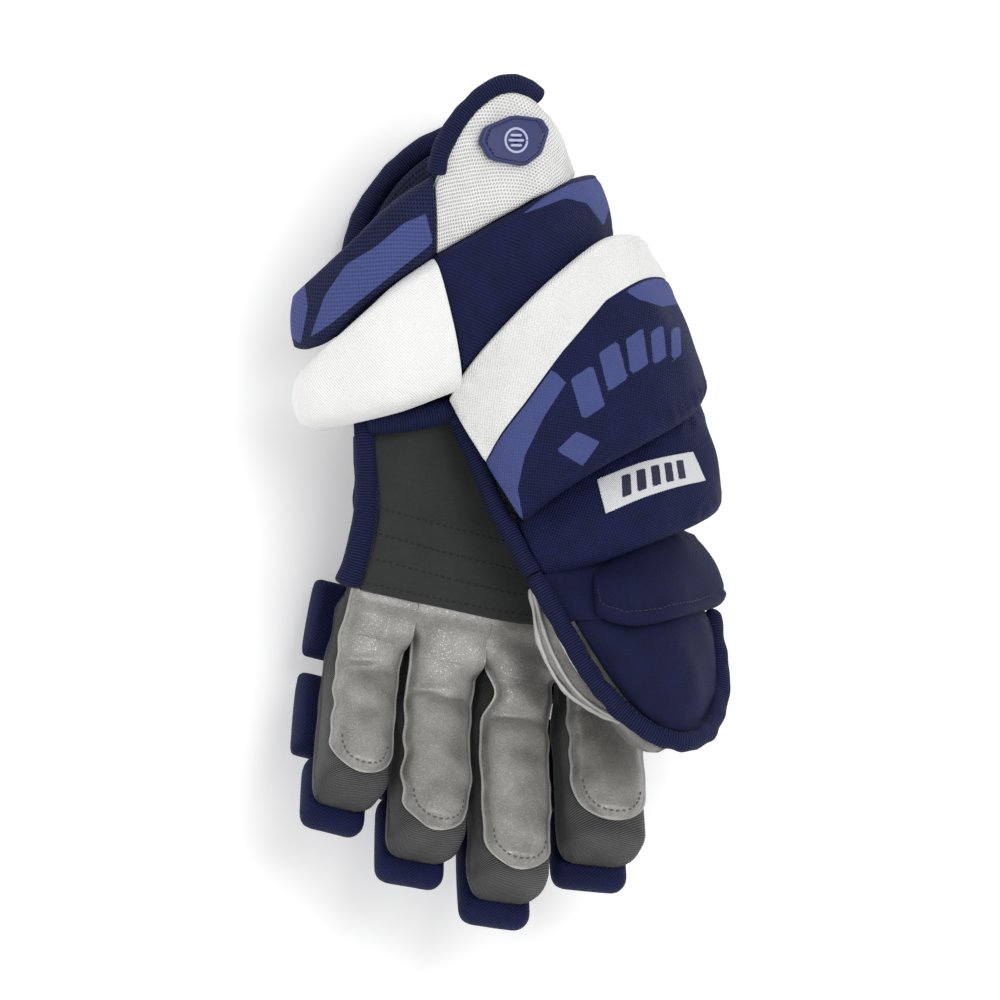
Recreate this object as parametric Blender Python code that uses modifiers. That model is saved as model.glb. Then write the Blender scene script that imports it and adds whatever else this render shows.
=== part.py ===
"""A left-hand ice hockey glove, 14 inch, lying on its back with the palm up.

The frame: +Z is up out of the palm, +Y runs from the fingertips to the cuff, +X is the thumb side. The
origin is on the flat crown of the middle backhand roll, which the glove lies on. Lengths are millimetres
until a mesh is made. Many positions are given as seen(u, v, h): u across and v along in a view that is
rolled VIEW_ROLL about the glove's long axis, and h the height above the table.
"""

import math

import bpy
from mathutils import Matrix, Vector

MM = 0.001
VIEW_ROLL = math.radians(17)
GAP = 0.4  # between pieces that are sewn against each other

# Backhand
ROLL_HEIGHT = 20.0
FLAT_HALF = 40.0  # half the length of the flat crowns
PLATE = 1.6
LINER = 1.6
PALM_TOP = 60.0
PALM_SHEET = 2.0

# Fingers, measured from the knuckle hinge: n is towards the palm, d towards the tip
HINGE_HEIGHT = 46.0
STRIP_TOP = 10.0
STRIP = 1.8
GUSSET_TOP = STRIP_TOP - STRIP - GAP
GUSSET_FLOOR = -19.6
GUSSET_WALL = 1.6
PAD_TOP = GUSSET_FLOOR - GAP
PAD_BOTTOM = -35.0
BASE_RISE = math.radians(10)
TIP_RISE = math.radians(28)

# name: hinge x, hinge y, lean, knuckle to middle joint, middle joint to end, half width,
# and the pads' extra width on the side away from the thumb
FINGERS = {
    "pinky": (-72.0, -43.0, 13.5, 29.0, 63.0, 13.0, 7.0),
    "ring": (-41.5, -50.0, 11.0, 34.0, 74.0, 14.0, 0.0),
    "middle": (-9.8, -55.0, 8.0, 38.5, 82.0, 14.5, 0.0),
    "index": (28.0, -55.0, 6.0, 34.0, 70.0, 15.5, 1.0),
}

# Wrist hinge: a point of it in the rolled view, and its direction
CUFF_HINGE = (-24.0, 104.0, 46.0)
CUFF_AXIS = (-0.82, -0.57, 0.0)
THUMB_LEAN = -24.0
THUMB_RISE = math.radians(11)
THUMB_ROOT = (30.0, -26.0, 88.5)  # on the thumb's hinge, in the rolled view
BINDING = 4.0  # radius of the rolled edge tape

MATERIALS = {
    "navy_fabric": ((0.018, 0.026, 0.105), 0.8, 0.0),
    "navy_tape": ((0.014, 0.018, 0.075), 0.85, 0.0),
    "white_fabric": ((0.82, 0.82, 0.82), 0.8, 0.0),
    "label_fabric": ((0.7, 0.7, 0.68), 0.7, 0.0),
    "grey_suede": ((0.035, 0.037, 0.038), 0.95, 0.0),
    "silver_leather": ((0.36, 0.35, 0.34), 0.45, 0.3),
    "dark_mesh": ((0.05, 0.05, 0.052), 0.75, 0.0),
    "rubber_badge": ((0.03, 0.04, 0.15), 0.5, 0.0),
    "white_plastic": ((0.75, 0.75, 0.72), 0.4, 0.0),
    "liner_fabric": ((0.02, 0.022, 0.05), 0.9, 0.0),
}


def new_collection(name):
    collection = bpy.data.collections.new(name)
    bpy.context.scene.collection.children.link(collection)
    return collection


for old in list(bpy.data.objects):
    bpy.data.objects.remove(old)
GLOVE = new_collection("hockey_glove")
CUTTERS = new_collection("cutters")


def material(name):
    """The Principled material of that name, made once."""
    if name in bpy.data.materials:
        return bpy.data.materials[name]
    colour, roughness, metallic = MATERIALS[name]
    made = bpy.data.materials.new(name)
    made.use_nodes = True
    shader = made.node_tree.nodes["Principled BSDF"]
    shader.inputs["Base Color"].default_value = (*colour, 1.0)
    shader.inputs["Roughness"].default_value = roughness
    shader.inputs["Metallic"].default_value = metallic
    return made


def seen(u, v, h):
    """The point at height h that the rolled view shows at u across and v along."""
    return Vector(((u - h * math.sin(VIEW_ROLL)) / math.cos(VIEW_ROLL), v, h))


def smooth_line(points, count):
    """count points, evenly spaced along a Catmull-Rom curve through the given ones."""
    points = [Vector(p) for p in points]
    ends = [2 * points[0] - points[1], *points, 2 * points[-1] - points[-2]]
    fine = []
    steps = 16
    for a, b, c, d in zip(ends, ends[1:], ends[2:], ends[3:]):
        for k in range(steps):
            t = k / steps
            square = 2 * a - 5 * b + 4 * c - d
            cube = 3 * b - a - 3 * c + d
            fine.append(0.5 * (2 * b + (c - a) * t + square * t * t + cube * t**3))
    fine.append(points[-1])
    along = [0.0]
    for p, q in zip(fine, fine[1:]):
        along.append(along[-1] + (q - p).length)
    line = []
    k = 0
    for i in range(count):
        target = along[-1] * i / (count - 1)
        while k < len(fine) - 2 and along[k + 1] < target:
            k += 1
        share = (target - along[k]) / max(along[k + 1] - along[k], 1e-9)
        line.append(fine[k].lerp(fine[k + 1], min(share, 1.0)))
    return line


def finish(obj, look, collection=GLOVE):
    """Gives the object its material and collection, shaded smooth with sharp edges kept."""
    obj.data.materials.append(material(look))
    collection.objects.link(obj)
    if obj.type == "MESH":
        obj.data.shade_smooth()
        obj.data.set_sharp_from_angle(angle=math.radians(50))
    return obj


def loft(name, rings, look, matrix=None, collection=GLOVE):
    """A closed solid through rings of points, with flat ends. Rings run so that their order turns inwards."""
    count = len(rings[0])
    points = [Vector(p) * MM for ring in rings for p in ring]
    faces = []
    for i in range(len(rings) - 1):
        for k in range(count):
            a, b = i * count + k, i * count + (k + 1) % count
            faces.append((a, b, b + count, a + count))
    faces.append(tuple(reversed(range(count))))
    faces.append(tuple(range((len(rings) - 1) * count, len(rings) * count)))
    mesh = bpy.data.meshes.new(name)
    mesh.from_pydata(points, [], faces)
    volume = sum(p.center.dot(p.normal) * p.area for p in mesh.polygons)
    if volume < 0:
        mesh.flip_normals()
    obj = bpy.data.objects.new(name, mesh)
    if matrix is not None:
        obj.matrix_world = matrix
    return finish(obj, look, collection)


def normals_along(upper, lower, outward):
    """The outward normal at each station of a band between two edges."""
    found = []
    for i in range(len(upper)):
        j, k = max(i - 1, 0), min(i + 1, len(upper) - 1)
        along = (upper[k] + lower[k]) - (upper[j] + lower[j])
        found.append((along.cross(lower[i] - upper[i]) * outward).normalized())
    return found


def roll(name, upper, lower, root, lip, crown, look, stations=10, outward=1, tuck=0.7):
    """A padded roll. Its outer face bulges between two edges, and it is root thick at the upper one and lip
    thick at the lower one. Its ends are tucked in to that share of the section."""
    top, bottom = smooth_line(upper, stations), smooth_line(lower, stations)
    mean = (root + lip) / 2
    profile = (
        (0.0, -root * 0.5),
        (0.05, crown * 0.1),
        (0.3, crown * 0.85),
        (0.6, crown),
        (0.88, crown * 0.55),
        (0.99, -lip * 0.2),
        (1.0, -lip * 0.7),
        (0.93, -lip),
        (0.5, -mean + crown * 0.3),
        (0.06, -root),
    )
    rings = []
    for i, normal in enumerate(normals_along(top, bottom, outward)):
        ring = [top[i].lerp(bottom[i], s) + normal * h for s, h in profile]
        if i in (0, stations - 1):
            middle = sum(ring, Vector()) / len(ring)
            ring = [middle.lerp(p, tuck) for p in ring]
        rings.append(ring)
    return loft(name, rings, look)


def sheet(name, rows, thickness, look, columns=8, lift=0.0, trim=0):
    """A sheet of even thickness whose top runs through rows of points, given from one side to the other.

    lift raises it along its normals, and trim leaves out that many columns at each side.
    """
    lines = [smooth_line(row, columns)[trim:columns - trim] for row in rows]
    columns -= 2 * trim
    points = [p * MM for line in lines for p in line]
    faces = []
    for i in range(len(lines) - 1):
        for k in range(columns - 1):
            a = i * columns + k
            faces.append((a, a + columns, a + columns + 1, a + 1))
    mesh = bpy.data.meshes.new(name)
    mesh.from_pydata(points, [], faces)
    if sum(p.normal.z for p in mesh.polygons) < 0:
        mesh.flip_normals()
    for corner, normal in zip(mesh.vertices, [n.vector.copy() for n in mesh.vertex_normals]):
        corner.co += normal * lift * MM
    obj = bpy.data.objects.new(name, mesh)
    solid = obj.modifiers.new("thickness", "SOLIDIFY")
    solid.thickness = thickness * MM
    solid.offset = -1
    return finish(obj, look)


def tape(name, points, radius, look="navy_tape", count=24):
    """A rolled edge tape: a round tube along a smooth line."""
    curve = bpy.data.curves.new(name, "CURVE")
    curve.dimensions = "3D"
    curve.bevel_depth = radius * MM
    curve.bevel_resolution = 2
    curve.use_fill_caps = True
    spline = curve.splines.new("POLY")
    line = smooth_line(points, count)
    spline.points.add(count - 1)
    for knot, p in zip(spline.points, line):
        knot.co = (*(p * MM), 1.0)
    return finish(bpy.data.objects.new(name, curve), look)


def rounded_box_ring(d, half_left, half_right, low, high, corner):
    """A ring across a finger at d along it: a rounded rectangle, -half_left to half_right, low to high."""
    ring = []
    corner = min(corner, (half_left + half_right) / 2.2, (high - low) / 2.2)
    corners = (
        (half_right, high, 90, 0), (half_right, low, 0, -90),
        (-half_left, low, -90, -180), (-half_left, high, 180, 90),
    )
    for a, n, start, end in corners:
        centre_a, centre_n = a - math.copysign(corner, a), n - corner if n == high else n + corner
        for t in (0, 0.5, 1):
            angle = math.radians(start + (end - start) * t)
            ring.append((centre_a + corner * math.cos(angle), d, centre_n + corner * math.sin(angle)))
    return ring


def frame_at(origin, lean, rise):
    """The frame of a finger part: x across towards the thumb, y along towards the tip, z towards the palm."""
    lean = math.radians(lean)
    tip = Vector((-math.sin(lean) * math.cos(rise), -math.cos(lean) * math.cos(rise), math.sin(rise)))
    across = Vector((-math.cos(lean), math.sin(lean), 0.0))
    palm = across.cross(tip)
    rotation = Matrix((across, tip, palm)).transposed()
    return Matrix.Translation(Vector(origin) * MM) @ rotation.to_4x4()


def cut(obj, cutter):
    """Takes the cutter's shape out of the object."""
    cutter.hide_render = True
    cutter.display_type = "WIRE"
    boolean = obj.modifiers.new("hollow", "BOOLEAN")
    boolean.operation = "DIFFERENCE"
    boolean.object = cutter
    return obj


def padded_block(name, frame, stations, look, corner=5.0):
    """A foam pad in its cover. stations: (d, half left, half right, low, high) along the finger."""
    rings = []
    for d, left, right, low, high in stations:
        rings.append(rounded_box_ring(d, left, right, low, high, corner))
    return loft(name, rings, look, frame)


def trough(name, frame, start, end, half, closed, look="dark_mesh"):
    """The finger's mesh gusset: two side walls on a floor, open to the palm, closed at the tip if asked."""
    w = GUSSET_WALL
    low, high = GUSSET_FLOOR, GUSSET_TOP
    if closed:
        outer = [(start, half), (end - 9, half), (end - 3, half - 4), (end, half - 9)]
        inner = [(start - 5, half - w), (end - 9, half - w), (end - 3 - w, half - 4 - w), (end - w, half - 9)]
    else:
        outer = [(start, half), (end, half)]
        inner = [(start - 5, half - w), (end + 5, half - w)]
    body = loft(name, [rounded_box_ring(d, h, h, low, high + 6, 4.0) for d, h in outer], look, frame)
    hollow = [rounded_box_ring(d, h, h, low + w, high + 12, 3.0) for d, h in inner]
    cutter = loft(name + "_hollow", hollow, look, frame, CUTTERS)
    cut(body, cutter)
    lid = loft(
        name + "_lid",
        [rounded_box_ring(d, half + 6, half + 6, high, high + 20, 1.0) for d in (start - 8, end + 8)],
        look, frame, CUTTERS,
    )
    return cut(body, lid)


def strip(name, frame, start, end, half, round_end, look="silver_leather"):
    """A flat leather overlay on the palm side of a finger, with its far end rounded if asked."""
    outline = [(-half, start), (half, start)]
    if round_end:
        radius = half
        for k in range(9):
            angle = math.pi * k / 8
            outline.append((radius * math.cos(angle), end - radius * 0.8 + 0.8 * radius * math.sin(angle)))
    else:
        outline += [(half, end), (-half, end)]
    curve = bpy.data.curves.new(name, "CURVE")
    curve.dimensions = "2D"
    curve.fill_mode = "BOTH"
    curve.extrude = STRIP / 2 * MM
    spline = curve.splines.new("POLY")
    spline.points.add(len(outline) - 1)
    spline.use_cyclic_u = True
    for knot, (a, d) in zip(spline.points, outline):
        knot.co = (a * MM, d * MM, 0.0, 1.0)
    obj = bpy.data.objects.new(name, curve)
    obj.matrix_world = frame @ Matrix.Translation((0, 0, (STRIP_TOP - STRIP / 2) * MM))
    return finish(obj, look)


def finger(name, x, y, lean, to_middle, to_end, half, outer_pad):
    """One finger: the part from the knuckle to the middle joint, and the part from there to the tip."""
    base = frame_at((x, y, HINGE_HEIGHT), lean, BASE_RISE)
    joint = (base @ Vector((0, to_middle * MM, 0))) / MM
    tip = frame_at(joint, lean, TIP_RISE)
    side = half + outer_pad
    pad_edge = half - 0.2
    # The frame's x runs away from the thumb, so the outer side is its positive one.
    padded_block(
        name + "_base_pad", base,
        [(-12, pad_edge - 2, side - 3, PAD_BOTTOM + 5, PAD_TOP),
         (-8, pad_edge, side, PAD_BOTTOM + 1, PAD_TOP),
         (to_middle - 12, pad_edge, side, PAD_BOTTOM, PAD_TOP),
         (to_middle - 7, pad_edge - 2, side - 3, PAD_BOTTOM + 5, PAD_TOP)],
        "navy_fabric",
    )
    middle_end = to_end * 0.47
    padded_block(
        name + "_middle_pad", tip,
        [(-2, pad_edge - 2, side - 3, PAD_BOTTOM + 5, PAD_TOP), (2, pad_edge, side, PAD_BOTTOM, PAD_TOP),
         (middle_end - 5, pad_edge, side, PAD_BOTTOM, PAD_TOP),
         (middle_end - 1, pad_edge - 2, side - 3, PAD_BOTTOM + 5, PAD_TOP)],
        "navy_fabric",
    )
    padded_block(
        name + "_tip_pad", tip,
        [(middle_end, pad_edge - 2, half - 2, PAD_BOTTOM + 5, PAD_TOP),
         (middle_end + 4, pad_edge + 0.3, half + 0.5, PAD_BOTTOM + 1, PAD_TOP),
         (to_end - 12, pad_edge + 0.3, half + 0.5, PAD_BOTTOM + 2, PAD_TOP),
         (to_end - 4, pad_edge - 3, half - 3, PAD_BOTTOM + 4, PAD_TOP),
         (to_end, pad_edge - 8, half - 8, PAD_BOTTOM + 8, PAD_TOP - 1)],
        "navy_fabric", corner=6.0,
    )
    wall = half - 0.8
    trough(name + "_base_gusset", base, 9, to_middle - 6, wall, closed=False)
    trough(name + "_tip_gusset", tip, 5, to_end - 9, wall, closed=True)
    strip(name + "_base_strip", base, 8, to_middle - 5, half - 1, round_end=False)
    strip(name + "_tip_strip", tip, 8, to_end - 15, half, round_end=True)


def backhand_roll(name, left, right, upper, lower):
    """A roll across the back of the hand, flat along its crown. upper and lower are y at its two ends."""
    rings = []
    xs = [left, left + 8, -FLAT_HALF, 0.0, FLAT_HALF, right - 8, right]
    for i, x in enumerate(xs):
        share = (x - left) / (right - left)
        y1 = upper[0] + (upper[1] - upper[0]) * share
        y2 = lower[0] + (lower[1] - lower[0]) * share
        lift = (10.0, 4.0, 0.0, 0.0, 0.0, 4.0, 10.0)[i]
        pinch = 3.0 if i in (0, len(xs) - 1) else 0.0
        y1, y2 = y1 - pinch, y2 + pinch
        width = y1 - y2
        rings.append([
            (x, y1, ROLL_HEIGHT - 1), (x, y1 - 0.5, ROLL_HEIGHT * 0.45 + lift * 0.4),
            (x, y1 - width * 0.1, 4 + lift),
            (x, y1 - width * 0.28, lift), (x, y1 - width * 0.72, lift), (x, y1 - width * 0.9, 4 + lift),
            (x, y2 + 0.5, ROLL_HEIGHT * 0.45 + lift * 0.4), (x, y2, ROLL_HEIGHT - 1),
            (x, y2 + 2, ROLL_HEIGHT),
            (x, y1 - 2, ROLL_HEIGHT),
        ])
    return loft(name, rings, "navy_fabric")


def backhand():
    """The three rolls over the back of the hand, and the plate and liner behind them."""
    backhand_roll("backhand_roll_upper", -66, 60, (30, 34), (7, 9))
    backhand_roll("backhand_roll_middle", -67, 61, (6, 8), (-16, -16))
    backhand_roll("backhand_roll_knuckle", -68, 61, (-17, -17), (-31, -40))
    z = ROLL_HEIGHT + GAP + PLATE
    plate = [[(-62, 26, z), (0, 28, z), (56, 30, z)], [(-62, -26, z), (0, -31, z), (56, -36, z)]]
    sheet("backhand_plate", plate, PLATE, "white_plastic", columns=4)
    z += GAP + LINER
    liner = [[(-64, 28, z), (0, 30, z), (58, 32, z)], [(-64, -28, z), (0, -33, z), (58, -38, z)]]
    sheet("backhand_liner", liner, LINER, "liner_fabric", columns=4)


def side_walls():
    """The navy walls that join the back to the palm, on the pinky side and on the index side."""
    bottom, top = ROLL_HEIGHT + PLATE + LINER + 2 * GAP + 0.6, PALM_TOP - PALM_SHEET - 3.0
    walls = (("pinky_side_wall", -72, -3, 28, -30), ("index_side_wall", 54, 3, -2, -40))
    for name, x, bulge, y1, y2 in walls:
        rings = []
        for y in (y1, (y1 + y2) / 2, y2):
            rings.append([
                (x - 1.2, y, bottom), (x - 1.2 + bulge, y, (bottom + top) / 2), (x - 1.2, y, top),
                (x + 1.2, y, top), (x + 1.2 + bulge, y, (bottom + top) / 2), (x + 1.2, y, bottom),
            ])
        loft(name, rings, "navy_fabric")


def palm():
    """The suede heel, the silver leather below it, the leather up to the thumb, and the opening's tape."""
    h = PALM_TOP
    sheet(
        "palm_heel",
        [[seen(-53.5, 27, h), seen(-38, 30, h), seen(-20, 33, h), seen(14, 28, h - 2)],
         [seen(-51, -5, h), seen(-30, -8, h - 1), seen(-4, -11, h), seen(30, -14, h - 1)],
         [seen(-56, -35, h), seen(-28, -41, h - 1), seen(8, -48, h), seen(40, -46, h)]],
        PALM_SHEET, "grey_suede", columns=7,
    )
    sheet(
        "palm_lower",
        [[seen(-61, -36.5, h), seen(-28, -42.5, h - 1), seen(8, -49.5, h), seen(44, -47.5, h),
          seen(58, -46, h - 2)],
         [seen(-62, -38, h - 0.5), seen(-28, -44.3, h - 1.5), seen(8, -51.3, h - 0.5),
          seen(44, -49.3, h - 0.5), seen(58, -48, h - 2.5)]],
        PALM_SHEET, "silver_leather", columns=9,
    )
    sheet(
        "thumb_side_leather",
        [[seen(-12, 20, 65.5), seen(0, -3, 71), seen(8, -17, 75), seen(13.5, -28, 78)],
         [seen(-8, 20, 62.4), seen(3, -2, 62.6), seen(11, -17, 63), seen(16.5, -28, 63.5)]],
        1.6, "silver_leather", columns=6,
    )
    tape(
        "pinky_binding",
        [seen(-59, 29, h - 1), seen(-58.5, 5, h), seen(-61.5, -18, h), seen(-66, -33, h - 2)], 4.4,
    )
    tape("wrist_binding", [seen(-57, 33, 64), seen(-40, 34, 66), seen(-25, 38, 66)], 4.0, count=8)


def wrist():
    """The two rolls at the front of the wrist and the one behind."""
    roll(
        "pinky_wrist_roll",
        [seen(-31, 99, 86), seen(-56, 82, 83), seen(-82, 59, 58), seen(-77, 60, 28), seen(-60, 66, 10)],
        [seen(-20, 48, 83), seen(-46, 38, 82), seen(-80, 31, 58), seen(-75, 34, 28), seen(-60, 38, 10)],
        11, 11, 9, "white_fabric", outward=1, tuck=0.93,
    )
    roll(
        "thumb_wrist_roll",
        [seen(-28, 102, 86), seen(0, 118, 89), seen(24, 131, 82), seen(35, 136, 60), seen(31, 136, 32),
         seen(24, 133, 22)],
        [seen(-18, 56, 82), seen(-3, 73, 81), seen(17, 91, 80), seen(40, 111, 58), seen(36, 113, 32),
         seen(28, 112, 22)],
        9, 9, 3, "navy_fabric", outward=-1, tuck=0.95,
    )
    roll(
        "rear_wrist_roll",
        [seen(-57, 66, 10), seen(-26, 90, 6), seen(4, 112, 10)],
        [seen(-55, 38, 10), seen(-16, 40, 6), seen(14, 84, 10)],
        6, 6, 3, "navy_fabric", stations=6, outward=1, tuck=0.9,
    )


def thumb_rolls():
    """The two rolls that step down the outside of the thumb and stay with the hand, and the woven label."""
    roll(
        "thumb_side_roll",
        [seen(-22, 44, 76), seen(-15, 57, 84), seen(-1, 75, 92), seen(18, 93, 97), seen(42, 111, 90),
         seen(55, 112, 66), seen(55, 104, 40), seen(46, 96, 18)],
        [seen(9, -2, 92), seen(18, 4, 99), seen(38, 16, 108), seen(59, 27, 108), seen(79, 38, 94),
         seen(84, 46, 66), seen(77, 50, 40), seen(62, 52, 18)],
        8, 10, 2.5, "white_fabric", stations=14, outward=-1, tuck=0.93,
    )
    roll(
        "thumb_label_roll",
        [seen(10, -5, 74), seen(21, 4, 81), seen(40, 16, 87), seen(60, 26, 87), seen(74, 35, 76),
         seen(77, 39, 60)],
        [seen(18, -28, 92), seen(38, -21, 103), seen(59, -14, 107), seen(79, -7, 98), seen(89, -2, 76),
         seen(85, 2, 58)],
        6, 10, 2.5, "navy_fabric", stations=12, outward=-1, tuck=0.93,
    )
    sheet(
        "woven_label",
        [[seen(38, 10, 91.2), seen(57, 15.6, 95.6), seen(75, 21, 91.5)],
         [seen(39.5, 3.5, 96.8), seen(59, 9.8, 100.2), seen(77.5, 16.5, 93.5)],
         [seen(41, -3, 100.8), seen(61, 4, 102.6), seen(80, 12, 93.5)]],
        0.8, "label_fabric", columns=7,
    )


def thumb():
    """The moving thumb: two pads on a splint, a leather pouch under them, and the edge tape."""
    roll(
        "thumb_middle_pad",
        [seen(36, -26, 86.5), seen(54, -16, 90), seen(67, -13, 83), seen(76, -17, 68), seen(76, -17, 58)],
        [on_thumb(38, -44, 17), on_thumb(55, -49.5, 20.5), on_thumb(75, -46, 11.5), on_thumb(89, -40, -17),
         on_thumb(87, -36, -36)],
        3, 7, 2, "navy_fabric", stations=9, outward=-1, tuck=0.9,
    )
    tip_pad()
    frame = thumb_frame()
    pouch = loft(
        "thumb_pouch",
        [rounded_box_ring(d, left, right, low, high, 6.0) for d, left, right, low, high in (
            (0, 19, 15, -23, 8), (30, 19, 15, -23, 8), (60, 17, 15, -22, 8), (75, 12, 12, -19, 8),
            (82, 6, 6, -15, 8),
        )],
        "silver_leather", frame,
    )
    hollow = loft(
        "thumb_pouch_hollow",
        [rounded_box_ring(d, left, right, low, high, 5.0) for d, left, right, low, high in (
            (-6, 17.4, 13.4, -21.4, 12), (30, 17.4, 13.4, -21.4, 12), (60, 15.4, 13.4, -20.4, 12),
            (74, 10.4, 10.4, -17.4, 12), (80, 5, 5, -13.4, 12),
        )],
        "silver_leather", frame, CUTTERS,
    )
    cut(pouch, hollow)
    lid = loft(
        "thumb_pouch_lid",
        [rounded_box_ring(d, 30, 30, -2.4, 20, 1.0) for d in (-10, 95)], "silver_leather", frame,
        CUTTERS,
    )
    cut(pouch, lid)
    sheet(
        "thumb_splint",
        [[frame @ (Vector((a, d, -0.4)) * MM) / MM for a in edges] for d, edges in (
            (17, (7, -3, -13)), (40, (7, -3, -13)), (60, (2, -5, -12)),
        )],
        1.6, "white_plastic", columns=4,
    )


def thumb_bindings():
    """The tape along the thumb, in two lengths: one sewn to the hand, and one round the moving thumb."""
    tape("thumb_binding_upper",
         [seen(-17.5, 31, 70), seen(-9, 14, 74), seen(0.5, -5, 78), seen(12.5, -27, 83.5)], 3.6,
         count=14)
    tape(
        "thumb_binding",
        [on_thumb(15.5, -33, 4.2), on_thumb(18.7, -39, 4.2), on_thumb(28, -56, 4.2),
         on_thumb(37.5, -71.5, 4.2),
         on_thumb(47, -82.5, 4.2), on_thumb(57, -91.5, 4.2), on_thumb(66, -97.5, 3.5), on_thumb(75, -98.5, 0),
         on_thumb(83, -94, -8), on_thumb(88.5, -86, -18)],
        3.6, count=34,
    )


def tip_pad():
    """The pad over the end of the thumb, arched over the splint and down on its outer side."""
    outer = (
        (0.0, 1.5), (0.02, 6), (0.15, 10), (0.4, 12.5), (0.65, 10.5), (0.85, 1.5), (0.97, -13), (1.0, -23),
    )
    inner = ((0.95, -24), (0.86, -14), (0.74, -3), (0.55, 1.6), (0.3, 1.6), (0.06, 0.8))
    stations = (
        # left edge, right edge, share of the rise, share of the drop
        ((24, -41), (80, -46), 0.5, 0.8),
        ((31, -52), (85, -54), 1.0, 1.0),
        ((41.5, -69), (86, -68), 1.0, 0.9),
        ((50.5, -80.5), (84.5, -78), 1.0, 0.7),
        ((60, -87.5), (80, -86), 0.9, 0.45),
        ((66, -90.5), (76, -90.5), 0.6, 0.3),
    )
    rings = []
    for (u1, v1), (u2, v2), rise, drop in stations:
        ring = []
        for share, n in outer + inner:
            n *= rise if n > 0 else drop
            ring.append(on_thumb(u1 + (u2 - u1) * share, v1 + (v2 - v1) * share, n))
        rings.append(ring)
    loft("thumb_tip_pad", rings, "navy_fabric")


def thumb_frame():
    """The frame at the root of the moving thumb, on its hinge."""
    return frame_at(seen(*THUMB_ROOT), THUMB_LEAN, THUMB_RISE)


def on_thumb(u, v, n):
    """The point at u, v of the rolled view that is n above the plane of the thumb's splint."""
    root = seen(*THUMB_ROOT)
    lean = math.radians(THUMB_LEAN)
    h = THUMB_ROOT[2]
    for _ in range(4):
        point = seen(u, v, h)
        along = (root.x - point.x) * math.sin(lean) + (root.y - point.y) * math.cos(lean)
        h = THUMB_ROOT[2] + n + along * math.tan(THUMB_RISE)
    return seen(u, v, h)


def cuff():
    """The cuff: a panel each side of the front seam, the rear panel, its plate and lining, and the tapes."""
    roll(
        "pinky_cuff_panel",
        [seen(-35, 133, 84), seen(-50, 122, 82), seen(-67, 108, 73), seen(-87, 89, 52), seen(-82, 88, 32)],
        [seen(-32, 106, 82), seen(-55, 89, 78), seen(-74, 73, 68), seen(-86, 68, 50), seen(-82, 70, 32)],
        8, 8, 2, "navy_fabric", outward=1, tuck=0.94,
    )
    roll(
        "thumb_cuff_panel",
        [seen(-27, 131, 84), seen(-21, 145, 86), seen(-14.5, 158, 87), seen(-6, 165.5, 87),
         seen(0.5, 168.5, 87),
         seen(7, 165.5, 85), seen(13, 158, 76), seen(15, 154, 56), seen(12, 150, 36)],
        [seen(-26, 109, 82), seen(-15, 116, 84), seen(-5, 121, 85), seen(5, 127, 85), seen(12, 132, 85),
         seen(19, 137, 83), seen(28, 142, 74), seen(31, 144, 54), seen(25, 144, 36)],
        8, 8, 2, "white_fabric", stations=14, outward=-1, tuck=0.95,
    )
    lower = [(-69, 81, 17), (-60, 88, 12), (-36, 104, 10), (-6, 124, 10), (8, 133, 12), (17, 140, 19)]
    upper = [(-55, 99, 14), (-53, 112, 11), (-48, 127, 10), (-37, 139, 9), (-23, 147, 9), (-6, 150, 12),
             (8, 148, 20)]
    lower, upper = ([seen(*p) for p in row] for row in (lower, upper))
    halfway = [(a + b) / 2 for a, b in zip(smooth_line(lower, 12), smooth_line(upper, 12))]
    rows = [lower, halfway, upper]
    sheet("rear_cuff_panel", rows, 8, "navy_fabric", columns=12)
    lift = GAP + PLATE
    sheet("cuff_plate", rows, PLATE, "white_plastic", columns=12, lift=lift, trim=3)
    lift += GAP + LINER
    sheet("cuff_lining", rows, LINER, "liner_fabric", columns=12, lift=lift, trim=2)
    tape(
        "front_cuff_binding",
        [seen(-29.8, 137, 83), seen(-27.2, 147, 84), seen(-18.7, 161, 84), seen(-8, 170.8, 84),
         seen(0.5, 174, 84),
         seen(10, 171, 82), seen(17.5, 163.5, 73)],
        BINDING, count=30,
    )
    tape(
        "rear_cuff_binding",
        [seen(-66.5, 103, 13), seen(-62.5, 118, 9), seen(-53, 134, 6), seen(-41, 146.5, 5),
         seen(-27, 154.5, 5),
         seen(-8, 158, 7), seen(8, 157, 14)],
        3.7, count=30,
    )


def badge():
    """The six-sided rubber badge on the front of the cuff, with a raised rim."""
    centre = seen(3.0, 150.5, 89.6)
    across = Vector((1.0, 0.0, -0.12)).normalized()
    up = Vector((0.0, 1.0, -0.02)).normalized()
    normal = across.cross(up).normalized()
    outline = ((-14, 3), (-11, 8), (0, 11), (11, 8), (14, 3), (10, -8), (0, -12), (-10, -8))
    rings = []
    for n, size in ((-0.8, 1.0), (1.2, 1.0), (2.0, 0.94), (2.0, 0.8), (1.2, 0.76)):
        rings.append([centre + across * a * size + up * b * size + normal * n for a, b in outline])
    loft("cuff_badge", rings, "rubber_badge")


def hang(name, location, names):
    """Parents pieces to an empty on their hinge, without moving them."""
    hinge = bpy.data.objects.new(name, None)
    hinge.location = location
    hinge.empty_display_size = 0.01
    GLOVE.objects.link(hinge)
    for piece in names:
        child = bpy.data.objects[piece]
        child.parent = hinge
        child.matrix_parent_inverse = Matrix.Translation(location).inverted()


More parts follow.
